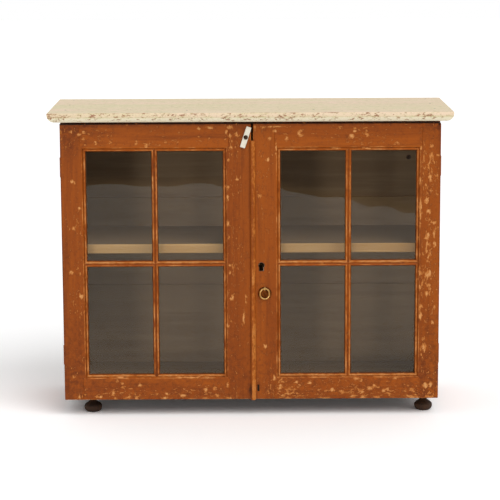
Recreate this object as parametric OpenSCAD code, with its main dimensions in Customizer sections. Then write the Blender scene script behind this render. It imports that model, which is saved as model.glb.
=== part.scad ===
// Small glazed cabinet: a painted box on turned feet with two overlay doors, each of four panes,
// one inner shelf and a moulded top board. Millimetres. The cabinet stands on z = 0, its front
// looks along -Y, and x = 0, y = 0 is the middle of the top board.

/* [Carcass] */
// Width across both closed doors, and of the carcass behind them
case_w = 760; // [600:1:1000]
// Depth of the carcass behind the doors
case_depth = 250; // [200:1:360]
// Height of the carcass, from its underside to the top board
case_h = 568; // [460:1:760]
// Thickness of the sides and of the bottom board
panel_t = 18; // [15:0.5:24]
// Thickness of the horizontal boards that close the back
back_t = 10; // [8:0.5:14]
// Number of back boards, one above the other
back_count = 3; // [3:1:3]
// Width of the side's wood that the back boards are let into
back_rebate_w = 9; // [6:0.5:11]
// Height of the rail under the front of the top board
front_rail_h = 40; // [30:1:60]
// Height of the rail under the rear of the top board
rear_rail_h = 30; // [20:1:50]
// Thickness of both top rails, front to back
rail_t = 18; // [14:0.5:24]
// Depth of the housings in the sides that take the bottom board and the rails
housing = 6; // [4:0.5:8]

/* [Top board] */
// Thickness of the top board
top_t = 20; // [16:0.5:28]
// Height of the plain lip above the rounded under-edge
top_lip = 4; // [2:0.5:8]
// Overhang of the top board past the doors, in front and at each end
top_over = 23; // [20:1:40]
// Overhang of the top board past the back
top_back_over = 1.5; // [0.5:0.5:10]
// Depth of the front one of the two planks that make the top board
top_front_d = 170; // [120:1:180]

/* [Shelf] */
// Height of the shelf's upper face above the carcass's underside
shelf_z = 316; // [240:1:340]
// Thickness of the shelf
shelf_t = 19; // [15:0.5:24]
// Distance of the shelf's front edge behind the front of the carcass
shelf_setback = 12; // [8:0.5:40]
// Side of the square battens that carry the shelf
batten_s = 15; // [10:0.5:20]

/* [Feet] */
// Height of the feet
foot_h = 34; // [28:1:60]
// Largest diameter of the turned bun
foot_d = 37; // [28:1:44]
// Diameter of the neck above the bun
foot_neck_d = 10; // [8:0.5:18]
// Distance of the left feet's centres from the left end of the carcass
foot_in_left = 54; // [24:1:80]
// Distance of the right feet's centres from the right end of the carcass
foot_in_right = 26; // [24:1:80]
// Distance of the feet's centres from the front and the back of the carcass
foot_in_depth = 25; // [24:1:60]

/* [Doors] */
// Width of the left door
left_door_w = 381; // [290:1:520]
// Gap between the two doors
meet_gap = 4; // [3.5:0.1:6]
// Thickness of the doors
door_t = 20; // [18:0.5:26]
// Gap between the doors and the underside of the top board
door_top_gap = 3; // [1.5:0.5:6]
// Width of the left door's hinge stile
left_hinge_stile_w = 51; // [40:1:70]
// Width of the left door's meeting stile
left_meeting_stile_w = 57; // [46:1:70]
// Width of the right door's meeting stile
right_meeting_stile_w = 55; // [50:1:70]
// Width of the right door's hinge stile
right_hinge_stile_w = 49; // [40:1:70]
// Height of the top rails of the doors
top_rail_h = 57; // [45:1:80]
// Height of the bottom rails of the doors
bottom_rail_h = 53; // [45:1:80]
// Width of the glazing bars
bar_w = 13; // [11:0.5:18]
// Width of the moulding along the inner edges of a door frame
mould_w = 9; // [6:0.5:12]
// Depth of the moulding's outer step
mould_step = 1.5; // [1:0.1:2.5]
// Radius of the moulding's quarter round
mould_r = 4; // [3:0.1:4.5]
// Length of the tenons on the door rails
tenon_l = 30; // [20:1:32]
// Thickness of the tenons on the door rails
tenon_t = 6; // [5:0.5:8]
// Length of the stub tenons on the glazing bars
stub_l = 8; // [5:0.5:10]

/* [Glass] */
// Depth of the glass behind the face of the door
glass_depth = 8; // [7:0.5:10]
// Thickness of the glass
glass_t = 2; // [1.5:0.1:3]
// Width of glass hidden behind the moulding, all round a pane
glass_lap = 4; // [3:0.1:4.5]
// Depth of the putty behind the glass
putty_d = 8; // [5:0.5:9]

/* [Hinges] */
// Length of a hinge
hinge_l = 40; // [32:1:60]
// Radius of the hinge knuckles
knuckle_r = 2.4; // [2.3:0.1:3]
// Radius of the hinge pins
pin_r = 1.2; // [1:0.1:1.3]
// Thickness of the hinge leaves
leaf_t = 1.5; // [1.2:0.1:2]
// Width of the hinge leaves, from the pin's axis
leaf_w = 14; // [13:0.5:14]
// Distance of the hinge centres from the top and bottom edges of the doors
hinge_in = 90; // [80:1:120]
// Distance of the pin's axis outside the door's edge
pin_out = 0.4; // [0.4:0.1:1]

/* [Lock and pulls] */
// Height of the keyhole's middle above the bottom of the door
key_z = 274; // [230:1:300]
// Distance of the keyhole from the right door's meeting edge
key_in = 16; // [15:0.5:18]
// Travel of the lock's bolt
lock_throw = 9; // [7:0.5:9]
// Height of the lock's case
lock_h = 50; // [46:1:60]
// Width of the lock's case
lock_w = 34; // [32:1:38]
// Height of the ring pull's eye above the bottom of the door
ring_z = 230; // [180:1:232]
// Distance of the ring pull's eye from the right door's meeting edge
ring_in = 22.5; // [18:0.5:30]
// Outer radius of the ring's round ends
ring_r = 10.7; // [9:0.1:12]
// Length of the straight wire between the ring's round ends
ring_straight = 2.5; // [1:0.1:4]
// Radius of the ring's wire
ring_wire_r = 1.5; // [1.2:0.1:1.8]
// Radius of the round plate behind the ring
rosette_r = 14; // [13.5:0.5:15]
// Distance of the round plate's middle below the eye
rosette_down = 11; // [9:0.5:11]
// Thickness of the round plate behind the ring
rosette_t = 2; // [1.5:0.1:3]

/* [Turn button and strip] */
// Length of the wooden turn button
button_l = 43.5; // [38:0.5:46]
// Width of the turn button
button_w = 10.8; // [9:0.1:12]
// Thickness of the turn button
button_t = 3.5; // [3:0.1:5]
// Distance of the turn button's screw from the left door's meeting edge
button_in = 10.5; // [9:0.5:12]
// Distance of the turn button's screw below the top of the left door
button_down = 28.5; // [26:0.5:32]
// Lean of the turn button at rest, from upright towards the right door, in degrees
button_lean = 18; // [0:1:60]
// Width of the rounded strip that covers the meeting of the doors
strip_w = 11; // [10:0.1:12]
// Height of the rounded strip above the face of the doors
strip_h = 5; // [4:0.1:5.5]
// Width of the left door that the strip covers
strip_lap = 2.5; // [2:0.1:3]
// Distance of the strip's upper end below the top of the door
strip_down = 35.5; // [34.5:0.5:50]

/* [Inner bolt] */
// Radius of the sliding bolt inside the left door
bolt_r = 3.5; // [3:0.1:4]
// Length of the sliding bolt
bolt_l = 90; // [70:1:110]
// Travel of the sliding bolt
bolt_throw = 10; // [8:0.5:12]
// Distance of the bolt from the left door's meeting edge
bolt_in = 24; // [20:0.5:30]

/* [Clearances] */
// Gap between the backs of the doors and the carcass
door_back_gap = 0.5; // [0.4:0.1:1]
// Clearance round a tenon in its mortise
tenon_gap = 0.15; // [0.05:0.05:0.3]
// Clearance round the glass in its rebate
glass_gap = 0.5; // [0.3:0.1:1]
// Clearance of a screw, nail or dowel in its hole
fixing_gap = 0.1; // [0.05:0.05:0.2]
// Running clearance of pins in their bores
running_gap = 0.05; // [0.02:0.01:0.1]
// Clearance of loose pieces beside fixed ones
loose_gap = 0.5; // [0.3:0.1:0.8]

/* [Hidden] */

// Overcut of a cutting solid past the face that it opens
over = 1;
$fn = 48;

// Places along Y, from the front edge of the top board to its rear edge
top_d = top_over + door_t + door_back_gap + case_depth + top_back_over;
top_w = case_w + 2 * top_over;
face_y = -top_d / 2 + top_over;
case_y = face_y + door_t + door_back_gap;
back_y = case_y + case_depth;
back_in_y = back_y - back_t;

// Places along Z
case_z = foot_h;
case_top = case_z + case_h;
floor_z = case_z + panel_t;
door_h = case_h - door_top_gap;

// Places along X
half_w = case_w / 2;
inner_half = half_w - panel_t;
right_door_w = case_w - left_door_w - meet_gap;
left_door_x = -half_w;
right_door_x = half_w - right_door_w;
back_half = half_w - back_rebate_w;

// Fixings: nails and screws
nail_r = 1.3;
nail_head_r = 2.8;
nail_head_h = 1;
nail_sunk = 0.4;
screw_r = 1.5;
screw_head_r = 2.8;
screw_slot_w = 0.8;
screw_slot_d = 0.5;
leaf_screw_l = 12;
leaf_screw_step = 13;
fitting_screw_l = 10;
knuckle_gap = 0.3;

// Glass openings
pane_h = (door_h - top_rail_h - bottom_rail_h - bar_w) / 2;
putty_end = glass_depth + glass_t + putty_d;
tenon_y = glass_depth;
tenon_end_gap = 10;

// Lock
lock_depth = 10;
lock_wall = 1.5;
lock_z = key_z;
key_head_r = 5.5;
key_slot_w = 8;
key_half_h = 8;
key_pin_r = 1.5;
liner_t = 1.2;
liner_d = 6;
liner_proud = 0.3;
bolt_bar_t = 5;
bolt_bar_h = 13;
bolt_bar_l = 24;
bolt_bar_in = 0.6;
lock_screw_l = 16;
bolt_bar_z = lock_z + lock_h / 2 - lock_wall - loose_gap - bolt_bar_h;
bolt_bar_y = door_t - lock_depth / 2 - bolt_bar_t / 2;
strike_w = 12;
strike_h = 32;
strike_t = 1.5;
strike_mortise = lock_throw - meet_gap + 1;

// Ring pull
eye_y = -6;
eye_t = 3.6;
eye_r = ring_wire_r + 2.1;
eye_bore_r = ring_wire_r + loose_gap;
eye_shank_r = 1.5;
eye_collar_r = 2.4;
eye_shank_in = 12;
ring_mid_r = ring_r - ring_wire_r;

// Turn button
button_gap = 0.6;
button_screw_r = 2;
button_head_r = 4.4;
button_head_h = 2.4;
button_screw_in = 14;

// Strip over the meeting edges
strip_off = 0.4;
strip_tongue_t = meet_gap - 1.2;
strip_tongue_d = 16;
strip_below = 1;
strip_x = -meet_gap - strip_lap;

// Sliding bolt inside the left door
bolt_y = door_t + bolt_r + 1.5;
bolt_end_gap = 1;
bolt_low = panel_t + bolt_end_gap;
bolt_plate_w = 26;
bolt_plate_h = 60;
bolt_plate_t = 1.6;
bolt_plate_z = bolt_low + 18;
bolt_loop_h = 8;
bolt_loop_t = 2.2;
bolt_knob_r = 2.5;
bolt_knob_l = 9;
bolt_hole_r = bolt_r + loose_gap;

// ---------------------------------------------------------------- shared shapes

// Prism with an x-z outline, between two depths y0 and y1
module face_prism(y0, y1) {
    translate([0, y1, 0]) rotate([90, 0, 0]) linear_extrude(y1 - y0) children();
}

// Round bar along Y from y0 to y1
module bar_y(r, y0, y1) {
    translate([0, y0, 0]) rotate([-90, 0, 0]) cylinder(r = r, h = y1 - y0);
}

// Round bar along X from x0 to x1
module bar_x(r, x0, x1) {
    translate([x0, 0, 0]) rotate([0, 90, 0]) cylinder(r = r, h = x1 - x0);
}

// Nail with its head at z = 0, pointing down; grow widens it into the hole that takes it
module nail(length, grow = 0) {
    translate([0, 0, -length]) cylinder(r = nail_r + grow, h = length);
    translate([0, 0, -nail_sunk - nail_head_h]) cylinder(r = nail_head_r + grow, h = nail_head_h);
}

// Hole for a nail, open above its head
module nail_hole(length) {
    nail(length, fixing_gap);
    translate([0, 0, -nail_sunk - nail_head_h])
        cylinder(r = nail_head_r + fixing_gap, h = nail_head_h + nail_sunk + over);
}

// Countersunk screw with its head's face at z = 0, pointing down
module screw_body(length, grow = 0) {
    translate([0, 0, -length]) cylinder(r = screw_r + grow, h = length);
    rotate_extrude() polygon([
        [0, 0],
        [screw_head_r + grow, 0],
        [screw_r + grow, -(screw_head_r - screw_r)],
        [0, -(screw_head_r - screw_r)]
    ]);
}

module screw(length) {
    difference() {
        screw_body(length);
        translate([-screw_head_r - over, -screw_slot_w / 2, -screw_slot_d])
            cube([2 * (screw_head_r + over), screw_slot_w, screw_slot_d + over]);
    }
}

// ---------------------------------------------------------------- top board

// The whole top board: plain lip above, quarter round below, along the front and both ends
module top_edge(length) {
    round_r = top_t - top_lip;
    translate([0, round_r]) square([length, top_lip]);
    square([length - round_r, top_t]);
    intersection() {
        translate([length - round_r, round_r]) circle(round_r);
        square([length, round_r + top_lip / 2]);
    }
}

module top_slab() {
    intersection() {
        // outline seen from the end: rounded under the front only
        rotate([90, 0, -90]) translate([0, 0, -top_w / 2]) linear_extrude(top_w)
            translate([-top_d / 2, 0]) top_edge(top_d);
        // outline seen from the front: rounded under both ends
        rotate([90, 0, 0]) translate([0, 0, -top_d / 2 - over]) linear_extrude(top_d + 2 * over) {
            for (s = [0, 1]) mirror([s, 0]) top_edge(top_w / 2);
        }
    }
}

// Nails through the top board, at [x, y]
top_nail_inset = 24;
top_nail_l = 48;
top_nail_places = concat(
    [for (s = [-1, 1], k = [0 : 2])
        [s * (half_w - panel_t / 2), case_y + top_nail_inset + k * (case_depth - 2 * top_nail_inset) / 2]],
    [for (s = [-1, 1]) [s * half_w / 3, case_y + rail_t / 2]]
);

module top_board() {
    difference() {
        translate([0, 0, case_top]) top_slab();
        for (p = top_nail_places) translate([p[0], p[1], case_top + top_t]) nail_hole(top_nail_l);
    }
}

top_seam_y = -top_d / 2 + top_front_d;

module top_board_front() {
    color("wheat") intersection() {
        top_board();
        translate([-top_w, -top_d, 0]) cube([2 * top_w, top_d + top_seam_y, case_top + 2 * top_t]);
    }
}

module top_board_rear() {
    color("cornsilk") intersection() {
        top_board();
        translate([-top_w, top_seam_y, 0]) cube([2 * top_w, top_d, case_top + 2 * top_t]);
    }
}

module top_nails() {
    color("dimgray") for (p = top_nail_places)
        translate([p[0], p[1], case_top + top_t]) nail(top_nail_l);
}

// ---------------------------------------------------------------- carcass

// Nails through a side, at [y, z]: three into the bottom board and one into the front rail
side_nail_l = 38;
side_nail_places = concat(
    [for (k = [0 : 2]) [case_y + 34 + k * (case_depth - back_t - 68) / 2, case_z + panel_t / 2]],
    [[case_y + rail_t / 2, case_top - front_rail_h / 2 - 6]]
);

// Battens under the shelf and their nails, at y
batten_l = case_depth - back_t - shelf_setback - 24;
batten_y = case_y + shelf_setback + 6;
batten_z = case_z + shelf_z - shelf_t - batten_s;
batten_nail_l = 26;
batten_nail_ys = [batten_y + 30, batten_y + batten_l - 30];

// Heights of the joints between back boards
back_board_h = case_h / back_count;
back_nail_l = 30;
back_nail_in = 25;
back_nail_x = half_w - (panel_t + back_rebate_w) / 2;

// Everything in a side is drawn for the right-hand one
module side_right_shape() {
    difference() {
        translate([inner_half, case_y, case_z]) cube([panel_t, case_depth, case_h]);
        // rebate for the back boards
        translate([inner_half - over, back_in_y, case_z - over])
            cube([panel_t - back_rebate_w + over, back_t + over, case_h + 2 * over]);
        // housing for the bottom board
        translate([inner_half - over, case_y - over, case_z - over])
            cube([housing + over, case_depth + 2 * over, panel_t + over]);
        // housings for the front and the rear rail
        translate([inner_half - over, case_y - over, case_top - front_rail_h])
            cube([housing + over, rail_t + over, front_rail_h + over]);
        translate([inner_half - over, back_in_y - rail_t, case_top - rear_rail_h])
            cube([housing + over, rail_t + over, rear_rail_h + over]);
        // nail holes
        for (p = side_nail_places) translate([half_w, p[0], p[1]]) rotate([0, 90, 0]) nail_hole(side_nail_l);
        for (y = batten_nail_ys) translate([inner_half - batten_s, y, batten_z + batten_s / 2])
            rotate([0, -90, 0]) nail_hole(batten_nail_l);
        for (p = top_nail_places) translate([p[0], p[1], case_top + top_t]) nail_hole(top_nail_l);
        for (p = back_nail_places()) translate(p) rotate([-90, 0, 0]) nail_hole(back_nail_l);
        // recesses for the hinge leaves
        for (z = hinge_zs) translate([half_w + pin_out, pin_y, z]) case_leaf_recess();
    }
}

function back_nail_places() = [
    for (k = [0 : back_count - 1], e = [0, 1], s = [-1, 1]) [
        s * back_nail_x, back_y,
        case_z + k * back_board_h + (e ? back_board_h - back_nail_in : back_nail_in)
    ]
];

module side_left() {
    color("saddlebrown") mirror([1, 0, 0]) side_right_shape();
}

module side_right() {
    color("saddlebrown") side_right_shape();
}

// Places of the feet's centres, left to right and front to back
foot_xs = [-half_w + foot_in_left, half_w - foot_in_right];
foot_ys = [case_y + foot_in_depth, back_y - foot_in_depth];
dowel_r = 6;
dowel_l = panel_t - 4;

bolt_x = left_door_x + left_door_w - bolt_in;

module bottom_board() {
    color("sienna") difference() {
        translate([-inner_half - housing, case_y, case_z])
            cube([2 * (inner_half + housing), case_depth - back_t, panel_t]);
        for (x = foot_xs, y = foot_ys) translate([x, y, case_z - over])
            cylinder(r = dowel_r + fixing_gap, h = dowel_l + over + fixing_gap);
        for (s = [0, 1]) mirror([s, 0, 0]) for (p = side_nail_places)
            translate([half_w, p[0], p[1]]) rotate([0, 90, 0]) nail_hole(side_nail_l);
        // hole that the inner bolt drops into
        translate([bolt_x, face_y + bolt_y, floor_z - bolt_throw - 1])
            cylinder(r = bolt_hole_r, h = bolt_throw + 1 + over);
    }
}

module front_top_rail() {
    color("sienna") difference() {
        translate([-inner_half - housing, case_y, case_top - front_rail_h])
            cube([2 * (inner_half + housing), rail_t, front_rail_h]);
        for (s = [0, 1]) mirror([s, 0, 0]) for (p = side_nail_places)
            translate([half_w, p[0], p[1]]) rotate([0, 90, 0]) nail_hole(side_nail_l);
        for (p = top_nail_places) translate([p[0], p[1], case_top + top_t]) nail_hole(top_nail_l);
    }
}

module rear_top_rail() {
    color("sienna") difference() {
        translate([-inner_half - housing, back_in_y - rail_t, case_top - rear_rail_h])
            cube([2 * (inner_half + housing), rail_t, rear_rail_h]);
        for (p = back_nail_places()) translate(p) rotate([-90, 0, 0]) nail_hole(back_nail_l);
    }
}

// One back board, counted from the bottom
module back_board(k) {
    seam = 0.5;
    color("peru") difference() {
        translate([-back_half + loose_gap, back_in_y, case_z + k * back_board_h])
            cube([2 * (back_half - loose_gap), back_t, back_board_h - (k < back_count - 1 ? seam : 0)]);
        for (p = back_nail_places()) translate(p) rotate([-90, 0, 0]) nail_hole(back_nail_l);
        if (k == back_count - 1) translate([back_screw_x, back_in_y, back_screw_z]) rotate([90, 0, 0])
            screw_hole_in_back();
    }
}

module back_board_lower() { back_board(0); }
module back_board_middle() { back_board(1); }
module back_board_upper() { back_board(2); }

// Old round-headed screw left in the upper back board, seen through the top right pane
back_screw_x = half_w - 42;
back_screw_z = case_top - 106;
back_screw_head_r = 5;
back_screw_head_h = 3;

module screw_hole_in_back() {
    translate([0, 0, -back_t - over]) cylinder(r = screw_r + fixing_gap, h = back_t + 2 * over);
}

module back_screw() {
    color("gray") translate([back_screw_x, back_in_y, back_screw_z]) rotate([90, 0, 0]) {
        translate([0, 0, -back_t + 1]) cylinder(r = screw_r, h = back_t);
        difference() {
            cylinder(r1 = back_screw_head_r, r2 = back_screw_head_r - 2, h = back_screw_head_h);
            translate([-back_screw_head_r, -screw_slot_w / 2, back_screw_head_h - screw_slot_d])
                cube([2 * back_screw_head_r, screw_slot_w, screw_slot_d + over]);
        }
    }
}

module back_nails() {
    color("dimgray") for (p = back_nail_places()) translate(p) rotate([-90, 0, 0]) nail(back_nail_l);
}

module carcass_nails() {
    color("dimgray") for (s = [0, 1]) mirror([s, 0, 0]) {
        for (p = side_nail_places) translate([half_w, p[0], p[1]]) rotate([0, 90, 0]) nail(side_nail_l);
        for (y = batten_nail_ys) translate([inner_half - batten_s, y, batten_z + batten_s / 2])
            rotate([0, -90, 0]) nail(batten_nail_l);
    }
}

module shelf() {
    shelf_half = inner_half - loose_gap;
    shelf_y = case_y + shelf_setback;
    color("tan") translate([-shelf_half, shelf_y, case_z + shelf_z - shelf_t])
        cube([2 * shelf_half, back_in_y - loose_gap - shelf_y, shelf_t]);
}

module shelf_battens() {
    color("burlywood") for (s = [0, 1]) mirror([s, 0, 0]) difference() {
        translate([inner_half - batten_s, batten_y, batten_z]) cube([batten_s, batten_l, batten_s]);
        for (y = batten_nail_ys) translate([inner_half - batten_s, y, batten_z + batten_s / 2])
            rotate([0, -90, 0]) nail_hole(batten_nail_l);
    }
}

// Turned foot: dowel, slim neck and a flattened bun
module foot_outline() {
    bun_r = foot_d / 2;
    round_r = 9;
    bun_z = 11;
    neck_r = foot_neck_d / 2;
    base_r = bun_r - round_r;
    intersection() {
        square([bun_r + over, foot_h]);
        union() {
            translate([base_r, bun_z]) circle(round_r);
            square([base_r + 2, bun_z + round_r - 1]);
            polygon([[0, foot_h], [neck_r, foot_h], [neck_r, foot_h - 6],
                [base_r + 2, bun_z + round_r - 1], [0, bun_z]]);
        }
    }
    translate([0, foot_h]) square([dowel_r, dowel_l]);
}

module foot(ix, iy) {
    color("saddlebrown") translate([foot_xs[ix], foot_ys[iy], 0]) rotate_extrude() foot_outline();
}

module front_left_foot() { foot(0, 0); }
module front_right_foot() { foot(1, 0); }
module rear_left_foot() { foot(0, 1); }
module rear_right_foot() { foot(1, 1); }

// ---------------------------------------------------------------- hinges

// The pin's axis lies halfway in the gap behind the doors
pin_y = case_y - door_back_gap / 2;
hinge_zs = [case_z + hinge_in, case_z + door_h - hinge_in];
knuckle_l = (hinge_l - 2 * knuckle_gap) / 3;
leaf_screw_x = -leaf_w + 5;

// A leaf in the hinge's own frame: axis on z, leaf towards -x, side = 1 for the case, -1 for the door
module leaf_blank(side) {
    translate([-leaf_w, side > 0 ? door_back_gap / 2 : -door_back_gap / 2 - leaf_t, -hinge_l / 2])
        cube([leaf_w, leaf_t, hinge_l]);
}

module leaf_screw_places(side) {
    for (k = [-1 : 1]) translate([leaf_screw_x, side * door_back_gap / 2, k * leaf_screw_step])
        rotate([side > 0 ? 90 : -90, 0, 0]) children();
}

module case_leaf() {
    end_z = hinge_l / 2 - knuckle_l;
    difference() {
        union() {
            leaf_blank(1);
            for (z = [-hinge_l / 2, end_z]) translate([0, 0, z]) cylinder(r = knuckle_r, h = knuckle_l);
        }
        translate([0, 0, -knuckle_l / 2 - knuckle_gap])
            cylinder(r = knuckle_r + knuckle_gap, h = knuckle_l + 2 * knuckle_gap);
        translate([0, 0, -hinge_l]) cylinder(r = pin_r + running_gap, h = 2 * hinge_l);
        leaf_screw_places(1) screw_body(leaf_screw_l, fixing_gap);
    }
}

module door_leaf() {
    difference() {
        union() {
            leaf_blank(-1);
            translate([0, 0, -knuckle_l / 2]) cylinder(r = knuckle_r, h = knuckle_l);
        }
        for (z = [-hinge_l / 2 - over, knuckle_l / 2]) translate([0, 0, z])
            cylinder(r = knuckle_r + knuckle_gap, h = knuckle_l + knuckle_gap + over);
        translate([0, 0, -hinge_l]) cylinder(r = pin_r + running_gap, h = 2 * hinge_l);
        leaf_screw_places(-1) screw_body(leaf_screw_l, fixing_gap);
    }
}

// Wood cut away for a leaf, its knuckles and its screws
module knuckle_recess() {
    translate([0, 0, -hinge_l / 2 - fixing_gap])
        cylinder(r = knuckle_r + knuckle_gap, h = hinge_l + 2 * fixing_gap);
}

module leaf_recess(side) {
    leaf_y = side > 0 ? -over : -door_back_gap / 2 - leaf_t;
    translate([-leaf_w - fixing_gap, leaf_y, -hinge_l / 2 - fixing_gap])
        cube([leaf_w + fixing_gap + over, leaf_t + door_back_gap / 2 + over, hinge_l + 2 * fixing_gap]);
    knuckle_recess();
    leaf_screw_places(side) screw_body(leaf_screw_l, fixing_gap);
}

module case_leaf_recess() { leaf_recess(1); }
module door_leaf_recess() { leaf_recess(-1); }

// Both hinges of the right-hand side; the left ones are their mirror image
module at_hinges() {
    for (z = hinge_zs) translate([half_w + pin_out, pin_y, z]) children();
}

module case_hinge_leaves() {
    color("goldenrod") for (s = [0, 1]) mirror([s, 0, 0]) at_hinges() case_leaf();
}

module hinge_pins() {
    color("silver") for (s = [0, 1]) mirror([s, 0, 0]) at_hinges()
        translate([0, 0, -hinge_l / 2]) cylinder(r = pin_r, h = hinge_l);
}

module case_hinge_screws() {
    color("silver") for (s = [0, 1]) mirror([s, 0, 0]) at_hinges() leaf_screw_places(1) screw(leaf_screw_l);
}

module left_door_hinge_leaves() {
    color("goldenrod") mirror([1, 0, 0]) at_hinges() door_leaf();
}

module right_door_hinge_leaves() {
    color("goldenrod") at_hinges() door_leaf();
}

module left_door_hinge_screws() {
    color("silver") mirror([1, 0, 0]) at_hinges() leaf_screw_places(-1) screw(leaf_screw_l);
}

module right_door_hinge_screws() {
    color("silver") at_hinges() leaf_screw_places(-1) screw(leaf_screw_l);
}

// ---------------------------------------------------------------- door frames

// A door is drawn in its own frame: x from its left edge, y from its face, z from its bottom.
// d = [width, left stile, right stile]
left_d = [left_door_w, left_hinge_stile_w, left_meeting_stile_w];
right_d = [right_door_w, right_meeting_stile_w, right_hinge_stile_w];

function pane_w(d) = (d[0] - d[1] - d[2] - bar_w) / 2;
function bar_x0(d) = d[1] + pane_w(d);
function pane_x(d, i) = i == 0 ? d[1] : bar_x0(d) + bar_w;
function pane_z(k) = k == 0 ? bottom_rail_h : bottom_rail_h + pane_h + bar_w;
cross_z = bottom_rail_h + pane_h;

module in_left_door() { translate([left_door_x, face_y, case_z]) children(); }
module in_right_door() { translate([right_door_x, face_y, case_z]) children(); }

// Outline of the space that a glass opening of width a leaves, with its quarter rounds
module opening_outline(a) {
    deep = mould_step + mould_r;
    difference() {
        translate([-mould_r, -over]) square([a + 2 * mould_r, deep + over]);
        translate([-mould_r, deep]) circle(mould_r);
        translate([a + mould_r, deep]) circle(mould_r);
    }
    translate([0, -over]) square([a, door_t + 2 * over]);
}

// Everything cut away for one pane: the opening, mitred at its corners, and the rebate behind
module pane_cut(w, h) {
    intersection() {
        translate([0, 0, -mould_r]) linear_extrude(h + 2 * mould_r) opening_outline(w);
        translate([-mould_r, 0, h]) rotate([0, 90, 0]) linear_extrude(w + 2 * mould_r) opening_outline(h);
    }
    translate([-glass_lap, glass_depth, -glass_lap])
        cube([w + 2 * glass_lap, door_t - glass_depth + over, h + 2 * glass_lap]);
}

module glazing_cuts(d) {
    for (i = [0, 1], k = [0, 1]) translate([pane_x(d, i), 0, pane_z(k)]) pane_cut(pane_w(d), pane_h);
    // the moulding's outer step, all round the glazed part
    translate([d[1] - mould_w, -over, bottom_rail_h - mould_w])
        cube([d[0] - d[1] - d[2] + 2 * mould_w, mould_step + over,
            door_h - top_rail_h - bottom_rail_h + 2 * mould_w]);
}

// Outline of a glazing bar of length l along x, pointed where it is mitred into its neighbours
module bar_outline(l) {
    polygon([
        [0, 0], [l, 0], [l + mould_r, mould_r], [l + mould_r, bar_w - mould_r],
        [l, bar_w], [0, bar_w], [-mould_r, bar_w - mould_r], [-mould_r, mould_r]
    ]);
}

// Stub tenon of a bar: its end lies stub past the mitred point
module bar_stub(grow = 0) {
    stub_y = door_t - glass_depth - 4;
    translate([-mould_r - stub_l - grow, glass_depth - grow, mould_r - grow])
        cube([stub_l + grow, stub_y + 2 * grow, bar_w - 2 * mould_r + 2 * grow]);
}

module upright_bar_prism(d) {
    translate([bar_x0(d) + bar_w, 0, bottom_rail_h]) face_prism(0, door_t)
        rotate(90) bar_outline(door_h - top_rail_h - bottom_rail_h);
}

module upright_bar_stubs(d, grow = 0) {
    length = door_h - top_rail_h - bottom_rail_h;
    translate([bar_x0(d), 0, bottom_rail_h]) rotate([0, -90, 0]) translate([0, 0, -bar_w])
        bar_stub(grow);
    translate([bar_x0(d), 0, bottom_rail_h + length]) rotate([0, 90, 0]) bar_stub(grow);
}

module cross_bar_prisms(d) {
    for (i = [0, 1]) translate([pane_x(d, i), 0, cross_z]) face_prism(0, door_t) bar_outline(pane_w(d));
}

// Only the outer ends of the cross bars have stubs: the inner ends meet on the upright bar
module cross_bar_stubs(d, grow = 0) {
    translate([d[1], 0, cross_z]) bar_stub(grow);
    translate([d[0] - d[2], 0, cross_z]) mirror([1, 0, 0]) bar_stub(grow);
}

// Tenons of the rails, drawn at both ends of both rails
module rail_tenons(d, grow = 0) {
    for (z = [tenon_end_gap, door_h - top_rail_h + mould_w])
        for (e = [0, 1]) {
            h = (z == tenon_end_gap ? bottom_rail_h : top_rail_h) - mould_w - tenon_end_gap;
            x = e == 0 ? d[1] - mould_w - tenon_l - grow : d[0] - d[2] + mould_w;
            translate([x, tenon_y - grow, z - grow]) cube([tenon_l + grow, tenon_t + 2 * grow, h + 2 * grow]);
        }
}

// The left stile of a door; w is its width
module stile_outline(w) {
    m = mould_w;
    polygon([
        [0, 0], [w - m, 0], [w - m, bottom_rail_h - m], [w, bottom_rail_h],
        [w, door_h - top_rail_h], [w - m, door_h - top_rail_h + m], [w - m, door_h], [0, door_h]
    ]);
}

module joint_cuts(d) {
    rail_tenons(d, tenon_gap);
    cross_bar_prisms(d);
    cross_bar_stubs(d, tenon_gap);
    glazing_cuts(d);
}

module left_stile_of(d) {
    difference() {
        face_prism(0, door_t) stile_outline(d[1]);
        joint_cuts(d);
    }
}

module right_stile_of(d) {
    difference() {
        translate([d[0], 0, 0]) face_prism(0, door_t) mirror([1, 0]) stile_outline(d[2]);
        joint_cuts(d);
    }
}

// The rails, with their tenons; the shoulders are mitred through the moulding
module bottom_rail_of(d) {
    m = mould_w;
    difference() {
        union() {
            face_prism(0, door_t) polygon([
                [d[1] - m, 0], [d[0] - d[2] + m, 0], [d[0] - d[2] + m, bottom_rail_h - m],
                [d[0] - d[2], bottom_rail_h], [d[1], bottom_rail_h], [d[1] - m, bottom_rail_h - m]
            ]);
            intersection() {
                rail_tenons(d);
                cube([d[0], door_t, bottom_rail_h]);
            }
        }
        upright_bar_prism(d);
        upright_bar_stubs(d, tenon_gap);
        glazing_cuts(d);
    }
}

module top_rail_of(d) {
    m = mould_w;
    z = door_h - top_rail_h;
    difference() {
        union() {
            face_prism(0, door_t) polygon([
                [d[1] - m, door_h], [d[0] - d[2] + m, door_h], [d[0] - d[2] + m, z + m],
                [d[0] - d[2], z], [d[1], z], [d[1] - m, z + m]
            ]);
            intersection() {
                rail_tenons(d);
                translate([0, 0, z]) cube([d[0], door_t, top_rail_h]);
            }
        }
        upright_bar_prism(d);
        upright_bar_stubs(d, tenon_gap);
        glazing_cuts(d);
    }
}

module upright_bar_of(d) {
    difference() {
        union() {
            upright_bar_prism(d);
            upright_bar_stubs(d);
        }
        cross_bar_prisms(d);
        glazing_cuts(d);
    }
}

module cross_bars_of(d) {
    difference() {
        union() {
            cross_bar_prisms(d);
            cross_bar_stubs(d);
        }
        glazing_cuts(d);
    }
}

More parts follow.
